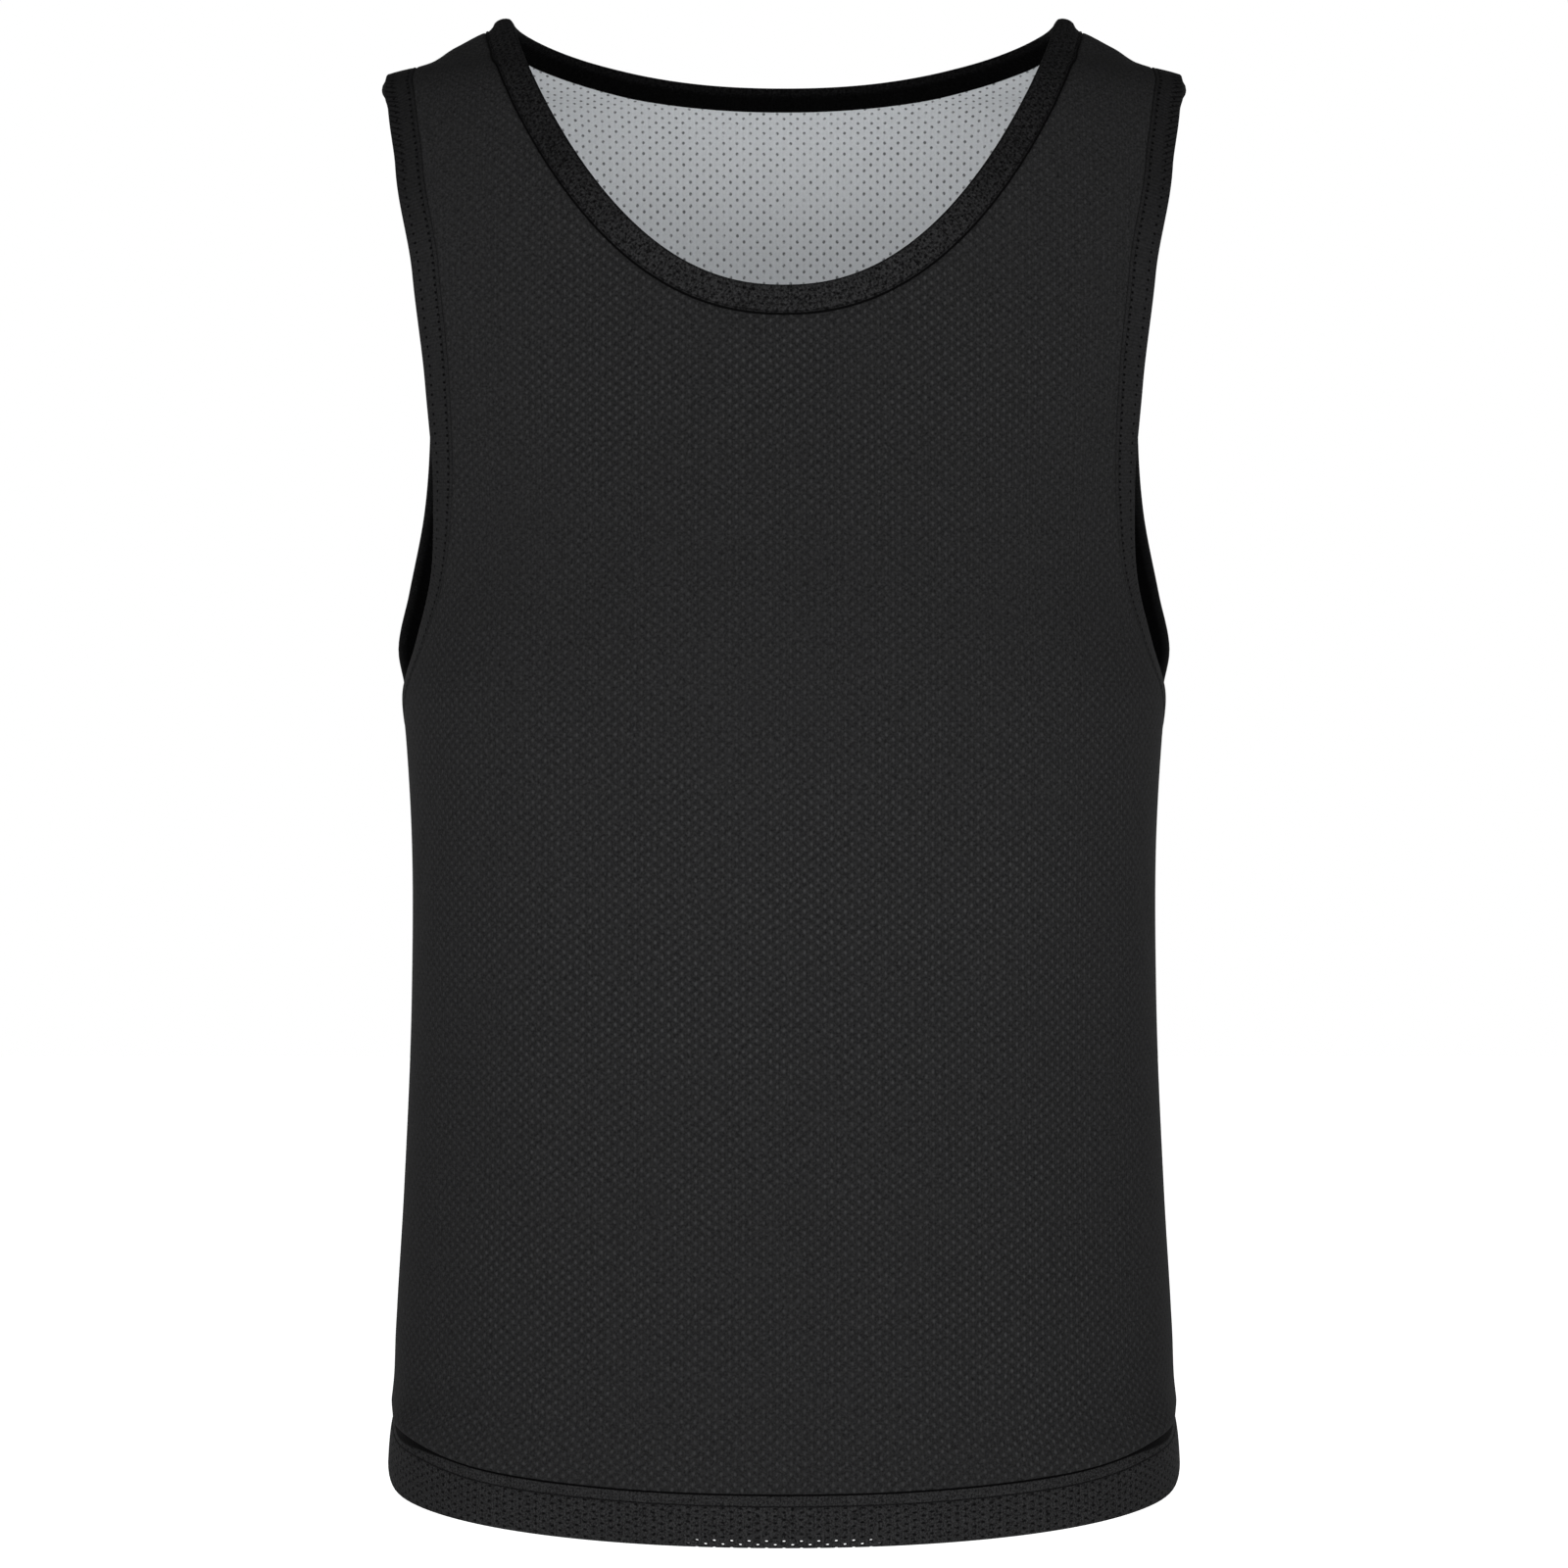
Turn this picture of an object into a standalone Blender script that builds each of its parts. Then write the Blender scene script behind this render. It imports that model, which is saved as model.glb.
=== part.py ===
"""Training bib: a sleeveless, reversible top of two layers of perforated knit, filled out as worn.

Front and back panels with a pale lining each, a bound neck, two bound armholes and a deep
doubled hem under a pouched fold. The front faces -Y and the shoulders' middle is the origin.
"""

from collections import namedtuple
import math

import bmesh
import bpy
import numpy as np

FRONT, BACK = -1, 1
RIGHT, LEFT = 1, -1

# Cloth thicknesses and the gap between sewn pieces, in metres
GAP = 0.0003
PANEL_THICK = 0.0012
LINING_THICK = 0.0010
BAND_THICK = 0.0031
HEM_THICK = 0.0024

# Each layer's middle, measured outwards from the garment's own surface
PANEL_OUT = 0.5 * (GAP + PANEL_THICK)
LINING_OUT = -0.5 * (GAP + LINING_THICK)
HEM_OUT = -0.0006

# How square the back's level sections are, and the front's below the armpits: 0 is an ellipse
FULLNESS = 0.14

# Level sections of the filled-out garment, hem to neck: heights from the shoulders' middle,
# half widths of the front and of the back, how far each comes forward or back, and how square
# the front is there
Section = namedtuple(
    "Section", "place z front_half back_half front_deep back_deep front_full", defaults=(FULLNESS,)
)
SECTIONS = (
    Section("hem edge", -0.682, 0.1846, 0.1846, 0.1215, 0.1110),
    Section("hem band", -0.660, 0.1848, 0.1848, 0.1213, 0.1108),
    Section("top of the hem band", -0.642, 0.1834, 0.1834, 0.1209, 0.1100),
    Section("fold over the hem", -0.631, 0.1814, 0.1814, 0.1207, 0.1096),
    Section("hip", -0.597, 0.1803, 0.1803, 0.1195, 0.1065),
    Section("below the waist", -0.532, 0.1766, 0.1766, 0.1165, 0.0990),
    Section("waist", -0.440, 0.1729, 0.1729, 0.1185, 0.0925),
    Section("ribs", -0.360, 0.1731, 0.1731, 0.1255, 0.0985),
    Section("below the armpit", -0.318, 0.1757, 0.1757, 0.1270, 0.1045),
    Section("armpit", -0.3015, 0.1772, 0.1782, 0.1270, 0.1068, 0.13),
    Section("armhole foot", -0.277, 0.1729, 0.1905, 0.1257, 0.1100, 0.12),
    Section("armhole low", -0.250, 0.1707, 0.1928, 0.1218, 0.1135, 0.10),
    Section("armhole lower half", -0.210, 0.1783, 0.1925, 0.1150, 0.1170, 0.07),
    Section("armhole middle", -0.160, 0.1957, 0.1930, 0.1060, 0.1190, 0.04),
    Section("armhole upper half", -0.110, 0.2135, 0.1943, 0.0975, 0.1155, 0.00),
    Section("armhole high", -0.060, 0.2222, 0.1938, 0.0885, 0.1075, -0.05),
    Section("below the tip", -0.032, 0.2143, 0.1896, 0.0800, 0.0975, -0.08),
    Section("side of the tip", -0.0215, 0.2070, 0.1890, 0.0748, 0.0893, -0.09),
    Section("shoulder tip", -0.0118, 0.1868, 0.1868, 0.0694, 0.0788, -0.10),
    Section("shoulder seam end", -0.0075, 0.1706, 0.1706, 0.0670, 0.0735, -0.10),
    Section("mid shoulder", 0.0012, 0.1537, 0.1537, 0.0600, 0.0620, -0.10),
    Section("neck seam", 0.0103, 0.1350, 0.1350, 0.0500, 0.0470, -0.10),
    Section("neck edge", 0.0134, 0.1262, 0.1262, 0.0440, 0.0390, -0.10),
)

# Open edge of the neck: its heights at the shoulder seam and at the middle, how square its
# curve hangs and how square it is to the sides; the band's width
NECK_TOP = 0.0134
NECK_LOW = {FRONT: -0.1192, BACK: -0.0044}
NECK_HANG = {FRONT: 1.74, BACK: 2.0}
NECK_SQUARENESS = 0.9
NECK_BAND_WIDTH = 0.0142

# Open edge of an armhole, an oval seen from the side, squarer at its upper front; the band's
# width
ARM_TOP, ARM_LOW = -0.0118, -0.3015
ARM_DEEP = {FRONT: 0.0620, BACK: 0.0680}
ARM_SQUARENESS = 0.75
ARM_BAND_WIDTH = 0.0145

# Hem: the body's cloth pouches over the top of a doubled band
FOLD_MID = {FRONT: -0.6545, BACK: -0.6515}
HEM_MID = {FRONT: -0.6792, BACK: -0.6762}
FOLD_SIDE_RISE, HEM_SIDE_RISE = 0.0150, 0.0122
HEM_TUCK = 0.0060
POUCH_LEAST, POUCH_MIDDLE, POUCH_MORE = 0.0004, 0.0010, 0.0040
POUCH_FULLEST = math.radians(28)
POUCH_SPREAD = math.radians(20)

# How the fold and the hem lift at the side seams, and where the pouch starts beside them:
# height, how far it reaches (a sine), and how square it falls away
SeamLift = namedtuple("SeamLift", "height reach power")
FOLD_LIFTS = (SeamLift(0.0068, 0.24, 4), SeamLift(0.0036, 0.54, 6))
HEM_LIFTS = (SeamLift(0.0100, 0.20, 2),)
POUCH_START = SeamLift(1.0, 0.23, 4)

# The pouch, from where it leaves the panel to its turned-under lip
Pouch = namedtuple("Pouch", "rise base share")
POUCH = (
    Pouch(0.0420, 0.00075, 0.00),
    Pouch(0.0260, 0.00085, 0.26),
    Pouch(0.0140, 0.00110, 0.66),
    Pouch(0.0060, 0.00140, 0.95),
    Pouch(0.0014, 0.00155, 1.00),
    Pouch(0.0000, 0.00155, 0.62),
    Pouch(0.0012, 0.00155, 0.16),
    Pouch(0.0036, 0.00155, 0.00),
)

# Soft folds of the worn cloth: where each has its middle, its half length and half width,
# its lean out of the upright, and how deep it sinks (less than 0) or stands up
Fold = namedtuple("Fold", "face angle z half_length half_width lean depth")
FOLDS = (
    Fold(FRONT, 90, -0.420, 0.120, 0.020, 0.00, -0.0022),
    Fold(FRONT, 118, -0.330, 0.110, 0.024, 0.10, -0.0026),
    Fold(FRONT, 63, -0.340, 0.120, 0.023, -0.12, -0.0024),
    Fold(FRONT, 138, -0.480, 0.130, 0.026, -0.08, -0.0020),
    Fold(FRONT, 44, -0.500, 0.110, 0.028, 0.06, -0.0022),
    Fold(FRONT, 76, -0.560, 0.090, 0.022, 0.00, 0.0018),
    Fold(FRONT, 106, -0.575, 0.080, 0.020, 0.00, 0.0016),
    Fold(BACK, 90, -0.340, 0.170, 0.030, 0.00, -0.0034),
    Fold(BACK, 66, -0.420, 0.130, 0.022, 0.10, -0.0028),
    Fold(BACK, 117, -0.400, 0.150, 0.024, -0.08, -0.0032),
    Fold(BACK, 142, -0.500, 0.120, 0.026, 0.06, -0.0024),
    Fold(BACK, 40, -0.520, 0.110, 0.025, -0.06, -0.0022),
)
FOLD_RADIUS = 0.15

# Net of each panel: rows beside the side seam and then the armhole, which are also the rows
# up the centre and then along the neck; columns in half a panel
SIDE_ROWS, ARM_ROWS = 12, 17
NECK_ROWS = 11
CENTRE_ROWS = SIDE_ROWS + ARM_ROWS - NECK_ROWS
HALF_COLUMNS = 11
SHOULDER_STRETCH = 2.3
SETTLING_TURNS = 60
WALK_STEPS = 6

# Cross-section of the bands, seam to open edge, and of the hem band, seam to lower edge
Profile = namedtuple("Profile", "across fullness")
BAND_PROFILE = (Profile(0.0, 0.50), Profile(0.14, 1.0), Profile(0.84, 1.0), Profile(1.0, 0.50))
HEM_PROFILE = (Profile(0.0, 0.9), Profile(0.35, 1.0), Profile(0.86, 1.0), Profile(1.0, 0.5))

# Finishes: linear colour, roughness
KNIT_BLACK = ((0.020, 0.020, 0.021), 0.86)
KNIT_WHITE = ((0.450, 0.460, 0.470), 0.88)
BINDING_BLACK = ((0.013, 0.013, 0.014), 0.80)


def section_column(name):
    """Heights, values and slopes of one column of the section table."""
    heights = np.array([section.z for section in SECTIONS])
    values = np.array([getattr(section, name) for section in SECTIONS])
    steps = np.diff(heights)
    rises = np.diff(values) / steps
    slopes = np.empty_like(values)
    slopes[0], slopes[-1] = rises[0], rises[-1]
    slopes[1:-1] = (rises[:-1] * steps[1:] + rises[1:] * steps[:-1]) / (steps[:-1] + steps[1:])
    return heights, values, slopes


FRONT_FULLNESS = section_column("front_full")
HALF_WIDTH = {FRONT: section_column("front_half"), BACK: section_column("back_half")}
DEPTH = {FRONT: section_column("front_deep"), BACK: section_column("back_deep")}


def read_column(column, z):
    """Value of a section column at heights z, on a smooth curve through its rows."""
    heights, values, slopes = column
    row = np.clip(np.searchsorted(heights, z) - 1, 0, len(heights) - 2)
    step = heights[row + 1] - heights[row]
    t = (z - heights[row]) / step
    below = values[row] * (1 + 2 * t) * (1 - t) ** 2 + slopes[row] * step * t * (1 - t) ** 2
    above = values[row + 1] * t**2 * (3 - 2 * t) + slopes[row + 1] * step * t**2 * (t - 1)
    return below + above


def fullness(face, z):
    """How square the sections are at heights z."""
    return read_column(FRONT_FULLNESS, z) if face == FRONT else FULLNESS


def across(face, angle, z):
    """X of the garment's surface."""
    wide = read_column(HALF_WIDTH[face], z)
    return wide * np.cos(angle) * (1 + fullness(face, z) * np.sin(angle) ** 2)


def forward(face, angle, z):
    """Distance of the garment's surface from the side seams' plane."""
    deep = read_column(DEPTH[face], z)
    return deep * np.sin(angle) * (1 + fullness(face, z) * np.cos(angle) ** 2)


def torso(face, angle, z):
    """Points of the garment's surface; angle runs from 0 at the right side to pi at the left."""
    x, y = across(face, angle, z), face * forward(face, angle, z)
    return np.stack([x, y, z + 0 * x], axis=-1)


def outward(face, angle, z):
    """Unit normals of the garment's surface, pointing away from the wearer."""
    step = 1e-4
    round_it = torso(face, angle + step, z) - torso(face, angle - step, z)
    up_it = torso(face, angle, z + step) - torso(face, angle, z - step)
    normal = face * np.cross(round_it, up_it)
    return normal / np.linalg.norm(normal, axis=-1, keepdims=True)


def relief(face, angle, z):
    """How far the soft folds lift the surface at each place."""
    lift = np.zeros(np.broadcast(angle, z).shape)
    for fold in FOLDS:
        if fold.face != face:
            continue
        along = z - fold.z
        aside = (angle - math.radians(fold.angle)) * FOLD_RADIUS - fold.lean * along
        length = np.exp(-((along / fold.half_length) ** 4))
        lift += fold.depth * length * np.exp(-((aside / fold.half_width) ** 2))
    return lift


def cloth(face, angle, z, out):
    """Points a distance out from the garment's surface, folds included."""
    lift = relief(face, angle, z) + out
    return torso(face, angle, z) + outward(face, angle, z) * lift[..., None]


def solve_angle(shape, target):
    """Angles from 0 to a right angle where shape, which rises all the way, reaches target."""
    low = np.zeros_like(target)
    high = np.full_like(target, math.pi / 2)
    for _ in range(40):
        middle = 0.5 * (low + high)
        under = shape(middle) < target
        low = np.where(under, middle, low)
        high = np.where(under, high, middle)
    return 0.5 * (low + high)


def neck_edge(face, share):
    """Angle and height along the neck's open edge: share 0 at the shoulder, 1 at the middle."""
    turn = share * math.pi / 2
    z = NECK_TOP - (NECK_TOP - NECK_LOW[face]) * np.sin(turn) ** NECK_HANG[face]
    x = read_column(HALF_WIDTH[face], np.array(NECK_TOP)) * np.cos(turn) ** NECK_SQUARENESS
    return solve_angle(lambda angle: -across(face, angle, z), -x), z


def arm_edge(face, share):
    """Angle and height along an armhole's open edge: share 0 at the armpit, 1 at the shoulder."""
    turn = (share - 0.5) * math.pi
    z = 0.5 * (ARM_TOP + ARM_LOW) + 0.5 * (ARM_TOP - ARM_LOW) * np.sin(turn)
    square = np.where((turn > 0) & (face == FRONT), ARM_SQUARENESS, 1.0)
    y = ARM_DEEP[face] * np.abs(np.cos(turn)) ** square
    return solve_angle(lambda angle: forward(face, angle, z), y), z


def square_to(face, edge, share):
    """Directions on the cloth, square to an open edge and away from the opening."""
    step = 1e-3
    ahead = torso(face, *edge(face, np.minimum(share + step, 1)))
    along = ahead - torso(face, *edge(face, np.maximum(share - step, 0)))
    along[share < step] = (0, face, 0)
    along[share > 1 - step] = (-1, 0, 0) if edge is neck_edge else (0, -face, 0)
    return face * np.cross(along, outward(face, *edge(face, share)))


def beside(face, edge, share, distance):
    """Angle and height at a distance from an open edge, walked over the cloth."""
    angle, z = edge(face, share)
    away = square_to(face, edge, share)
    step = 1e-4
    for _ in range(WALK_STEPS):
        turn = (torso(face, angle + step, z) - torso(face, angle - step, z)) / (2 * step)
        rise = (torso(face, angle, z + step) - torso(face, angle, z - step)) / (2 * step)
        tt, tr, rr = (turn * turn).sum(-1), (turn * rise).sum(-1), (rise * rise).sum(-1)
        ta, ra = (turn * away).sum(-1), (rise * away).sum(-1)
        spread = tt * rr - tr * tr
        more_angle, more_z = (rr * ta - tr * ra) / spread, (tt * ra - tr * ta) / spread
        moved = turn * more_angle[..., None] + rise * more_z[..., None]
        scale = distance / WALK_STEPS / np.linalg.norm(moved, axis=-1)
        angle, z = angle + more_angle * scale, z + more_z * scale
    return angle, z


def even_shares(face, edge, width, count):
    """Shares that part the seam beside an open edge into count stretches of equal length."""
    fine = np.linspace(0, 1, 801)
    points = torso(face, *beside(face, edge, fine, width))
    steps = np.linalg.norm(np.diff(points, axis=0), axis=1)
    length = np.concatenate([[0], np.cumsum(steps)])
    return np.interp(np.linspace(0, length[-1], count + 1), length, fine)


NECK_SHARES = {
    face: even_shares(face, neck_edge, NECK_BAND_WIDTH, NECK_ROWS) for face in (FRONT, BACK)
}
ARM_SHARES = {
    face: even_shares(face, arm_edge, ARM_BAND_WIDTH, ARM_ROWS) for face in (FRONT, BACK)
}


def neck_line(face, distance):
    """Stations of the neck at a distance from its open edge."""
    return beside(face, neck_edge, NECK_SHARES[face], distance)


def arm_line(face, distance):
    """Stations of an armhole at a distance from its open edge."""
    return beside(face, arm_edge, ARM_SHARES[face], distance)


def seam_angle(face, z):
    """Angle that leaves half of the gap between front and back at height z."""
    return 0.5 * GAP / (read_column(DEPTH[face], z) * (1 + fullness(face, z)))


def near_seam(lift, angle):
    """A seam lift's full height on a side seam, falling away to 0 within a few centimetres."""
    return lift.height * np.exp(-((np.sin(angle) / lift.reach) ** lift.power))


def fold_line(face, angle):
    """Height of the pouch's lowest line."""
    lifted = sum(near_seam(lift, angle) for lift in FOLD_LIFTS)
    return FOLD_MID[face] + FOLD_SIDE_RISE * np.cos(angle) ** 2 + lifted


def hem_line(face, angle):
    """Height of the garment's lower edge."""
    lifted = sum(near_seam(lift, angle) for lift in HEM_LIFTS)
    return HEM_MID[face] + HEM_SIDE_RISE * np.cos(angle) ** 2 + lifted


def pouch_reach(angle):
    """How far the pouch stands out over the hem band, fullest beside the side seams."""
    beside = np.minimum(angle, math.pi - angle)
    bulge = np.exp(-(((beside - POUCH_FULLEST) / POUCH_SPREAD) ** 2))
    return POUCH_LEAST + (1 - near_seam(POUCH_START, angle)) * (POUCH_MIDDLE + POUCH_MORE * bulge)


def stretch_height(z):
    """Height counted along the slope of the shoulder, so that a net is even there."""
    above = np.maximum(z - ARM_TOP, 0)
    return z + above * (SHOULDER_STRETCH - 1)


def unstretch_height(w):
    """Height of a stretched height."""
    above = np.maximum(w - ARM_TOP, 0)
    return w - above * (1 - 1 / SHOULDER_STRETCH)


def settle(net):
    """Even out a net between its fixed edges, so that no cell folds over."""
    for _ in range(SETTLING_TURNS):
        east, west = net[1:-1, 2:], net[1:-1, :-2]
        north, south = net[2:, 1:-1], net[:-2, 1:-1]
        run, rise = 0.5 * (east - west), 0.5 * (north - south)
        alpha = (rise**2).sum(-1, keepdims=True)
        beta = (run * rise).sum(-1, keepdims=True)
        gamma = (run**2).sum(-1, keepdims=True)
        cross = 0.25 * (net[2:, 2:] - net[2:, :-2] - net[:-2, 2:] + net[:-2, :-2])
        pull = alpha * (east + west) + gamma * (north + south) - 2 * beta * cross
        net[1:-1, 1:-1] = pull / (2 * (alpha + gamma))
    return net


def half_net(face):
    """Angles and heights of half a panel's net, rows hem to shoulder, columns side to centre."""
    start = fold_line(face, np.array(0.0)) + POUCH[0].rise
    arm_angle, arm_z = arm_line(face, ARM_BAND_WIDTH + GAP)
    neck_angle, neck_z = neck_line(face, NECK_BAND_WIDTH + GAP)
    side_z = np.concatenate([np.linspace(start, arm_z[0], SIDE_ROWS + 1), arm_z[1:]])
    side_angle = np.concatenate([np.zeros(SIDE_ROWS + 1), arm_angle[1:]])
    side_angle = np.maximum(side_angle, seam_angle(face, side_z))
    share = np.linspace(0, 1, HALF_COLUMNS + 1)
    hem_angle = side_angle[0] + (math.pi / 2 - side_angle[0]) * share**1.15
    hem_z = fold_line(face, hem_angle) + POUCH[0].rise
    centre_z = np.linspace(hem_z[-1], neck_z[-1], CENTRE_ROWS + 1)
    centre_z = np.concatenate([centre_z, neck_z[-2::-1]])
    centre_angle = np.full(CENTRE_ROWS + 1, math.pi / 2)
    centre_angle = np.concatenate([centre_angle, neck_angle[-2::-1]])
    centre_angle = np.maximum(centre_angle, seam_angle(face, centre_z))
    shoulder_z = np.linspace(side_z[-1], centre_z[-1], HALF_COLUMNS + 1)
    shoulder_angle = seam_angle(face, shoulder_z)

    def flat(angle, z):
        return np.stack([angle * FOLD_RADIUS, stretch_height(z)], axis=-1)

    side, centre = flat(side_angle, side_z), flat(centre_angle, centre_z)
    hem, top = flat(hem_angle, hem_z), flat(shoulder_angle, shoulder_z)
    u = share[None, :, None]
    v = np.linspace(0, 1, SIDE_ROWS + ARM_ROWS + 1)[:, None, None]
    ruled = (1 - u) * side[:, None] + u * centre[:, None] + (1 - v) * hem[None] + v * top[None]
    corners = (1 - u) * (1 - v) * hem[0] + u * (1 - v) * hem[-1]
    corners = corners + (1 - u) * v * top[0] + u * v * top[-1]
    net = settle(ruled - corners)
    return net[..., 0] / FOLD_RADIUS, unstretch_height(net[..., 1])


def grid_quads(numbers, ring=False):
    """Four-sided cells of a grid of vertex numbers, closed round its columns for a ring."""
    right = np.roll(numbers, -1, axis=1)
    if not ring:
        numbers, right = numbers[:, :-1], right[:, :-1]
    cells = np.stack([numbers[:-1], right[:-1], right[1:], numbers[1:]], axis=-1)
    return cells.reshape(-1, 4)


class PanelNet:
    """Both halves of a panel's net, joined up the centre as far as the neck.

    Rows added below the first one, such as the pouch's, keep its columns.
    """

    def __init__(self, face):
        self.face = face
        angle, z = half_net(face)
        self.angle = np.stack([angle, (math.pi - angle)[:, ::-1]])
        self.z = np.stack([z, z[:, ::-1]])

    def foot(self):
        """Angles of the first row, right side to left side."""
        return np.concatenate([self.angle[0, 0], self.angle[1, 0, 1:]])

    def cells(self, rows_below=0):
        """Cells of the net, with whole rows below it numbered first."""
        wide = 2 * HALF_COLUMNS + 1
        below = np.arange(rows_below * wide).reshape(rows_below, wide)
        shape = self.z.shape
        number = rows_below * wide + np.arange(self.z.size).reshape(shape)
        right, left = number[0], number[1].copy()
        left[: CENTRE_ROWS + 1, 0] = right[: CENTRE_ROWS + 1, -1]
        right = np.concatenate([below[:, : HALF_COLUMNS + 1], right])
        left = np.concatenate([below[:, HALF_COLUMNS:], left])
        return np.concatenate([grid_quads(right), grid_quads(left)])

    def points(self, out):
        """Points of the net at a distance out from the garment's surface."""
        return cloth(self.face, self.angle, self.z, np.full_like(self.z, out)).reshape(-1, 3)


NETS = {face: PanelNet(face) for face in (FRONT, BACK)}


def rim_edges(quads):
    """Edges that only one cell uses, each in that cell's own direction."""
    uses = {}
    for quad in quads:
        for a, b in zip(quad, np.roll(quad, -1)):
            uses.setdefault((min(a, b), max(a, b)), []).append((a, b))
    return [found[0] for found in uses.values() if len(found) == 1]


def wall(outer, inner, quads):
    """Vertices and triangles of a closed wall between two sheets of the same cells."""
    kept, numbers = np.unique(quads, return_inverse=True)
    quads = numbers.reshape(-1, 4)
    outer, inner = outer[kept], inner[kept]
    points = np.concatenate([outer, inner])
    back = len(outer)
    faces = []
    for a, b, c, d in quads:
        faces += [(a, b, c), (a, c, d)]
        faces += [(back + a, back + c, back + b), (back + a, back + d, back + c)]
    for a, b in rim_edges(quads):
        far, near = points[a] - points[back + b], points[b] - points[back + a]
        if np.dot(far, far) < np.dot(near, near):
            faces += [(b, a, back + b), (back + b, a, back + a)]
        else:
            faces += [(b, a, back + a), (b, back + a, back + b)]
    return points, faces


def add_piece(name, shape, finish):
    """A named object of one closed piece of cloth, its faces outwards, with its own material."""
    vertices, faces = shape
    mesh = bpy.data.meshes.new(name)
    mesh.from_pydata(vertices.tolist(), [], [tuple(map(int, face)) for face in faces])
    form = bmesh.new()
    form.from_mesh(mesh)
    bmesh.ops.recalc_face_normals(form, faces=form.faces)
    if form.calc_volume(signed=True) < 0:
        bmesh.ops.reverse_faces(form, faces=form.faces)
    form.to_mesh(mesh)
    form.free()
    mesh.shade_smooth()
    mesh.set_sharp_from_angle(angle=math.radians(50))
    colour, roughness = finish
    material = bpy.data.materials.new(name)
    material.use_nodes = True
    shader = material.node_tree.nodes["Principled BSDF"]
    shader.inputs["Base Color"].default_value = (*colour, 1.0)
    shader.inputs["Roughness"].default_value = roughness
    shader.inputs["Metallic"].default_value = 0.0
    mesh.materials.append(material)
    piece = bpy.data.objects.new(name, mesh)
    bpy.context.scene.collection.objects.link(piece)
    return piece


def pouch_rows(face, angle):
    """The pouch's outer and inner points, from under its lip up to the panel's first row."""
    rise = np.array([step.rise for step in POUCH])[:, None]
    base = np.array([step.base for step in POUCH])[:, None]
    share = np.array([step.share for step in POUCH])[:, None]
    out = base + share * pouch_reach(angle)[None]
    rise = rise + 0 * out
    down = np.gradient(rise, axis=0)
    away = np.gradient(out, axis=0)
    size = np.hypot(down, away)
    half = 0.5 * PANEL_THICK
    lowest = fold_line(face, angle)[None]
    turned = np.broadcast_to(angle, rise.shape)
    layers = []
    for side in (half, -half):
        z = lowest + rise + side * away / size
        layers.append(cloth(face, turned, z, out - side * down / size)[::-1])
    return layers


def make_panel(face, name):
    """A body panel of black knit, with the pouched fold at its foot."""
    net = NETS[face]
    pouch = [layer[:-1].reshape(-1, 3) for layer in pouch_rows(face, net.foot())]
    layers = []
    for fold, side in zip(pouch, (0.5, -0.5)):
        layers.append(np.concatenate([fold, net.points(PANEL_OUT + side * PANEL_THICK)]))
    return add_piece(name, wall(*layers, net.cells(len(POUCH) - 1)), KNIT_BLACK)


def make_lining(face, name):
    """A body lining of white knit, on the panel's own net, down to the hem band."""
    net = NETS[face]
    angle = net.foot()
    low = fold_line(face, angle) + HEM_TUCK + GAP
    high = fold_line(face, angle) + POUCH[0].rise
    layers = []
    for side in (0.5, -0.5):
        out = np.full_like(angle, LINING_OUT + side * LINING_THICK)
        foot = [cloth(face, angle, z, out) for z in (low, 0.5 * (low + high))]
        layers.append(np.concatenate([*foot, net.points(out[0])]))
    return add_piece(name, wall(*layers, net.cells(2)), KNIT_WHITE)


def make_hem(face, name):
    """Half of the doubled hem band, from the seam inside the pouch to the lower edge."""
    angle = NETS[face].foot()
    top = fold_line(face, angle) + HEM_TUCK
    low = hem_line(face, angle)
    layers = []
    for side in (0.5, -0.5):
        rows = []
        for step in HEM_PROFILE:
            z = top + step.across * (low - top)
            out = HEM_OUT + side * HEM_THICK * step.fullness
            rows.append(cloth(face, angle, z, np.full_like(z, out)))
        layers.append(np.concatenate(rows))
    cells = grid_quads(np.arange(len(layers[0])).reshape(len(HEM_PROFILE), -1))
    return add_piece(name, wall(*layers, cells), BINDING_BLACK)


def make_band(name, width, stations):
    """A bound edge, closed into a ring, given its stations at a distance from the opening."""
    layers = []
    for side in (0.5, -0.5):
        rows = []
        for step in BAND_PROFILE:
            out = side * BAND_THICK * step.fullness
            rows.append(np.concatenate([
                cloth(face, angle, z, np.full_like(z, out))
                for face, angle, z in stations((1 - step.across) * width)
            ]))
        layers.append(np.concatenate(rows))
    cells = grid_quads(np.arange(len(layers[0])).reshape(len(BAND_PROFILE), -1), ring=True)
    return add_piece(name, wall(*layers, cells), BINDING_BLACK)


def neck_stations(distance):
    """Stations once round the neck: right shoulder, front, left shoulder, back."""
    front, front_z = neck_line(FRONT, distance)
    back, back_z = neck_line(BACK, distance)
    return (
        (FRONT, front, front_z),
        (FRONT, math.pi - front[-2::-1], front_z[-2::-1]),
        (BACK, math.pi - back[1:], back_z[1:]),
        (BACK, back[-2:0:-1], back_z[-2:0:-1]),
    )


def arm_stations(distance, side):
    """Stations once round an armhole: armpit, front, shoulder tip, back."""
    front, front_z = arm_line(FRONT, distance)
    back, back_z = arm_line(BACK, distance)
    if side == LEFT:
        front, back = math.pi - front, math.pi - back
    return ((FRONT, front, front_z), (BACK, back[-2:0:-1], back_z[-2:0:-1]))


def clear_scene():
    """Remove every object, so that the model stands alone."""
    for thing in list(bpy.data.objects):
        bpy.data.objects.remove(thing, do_unlink=True)


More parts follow.
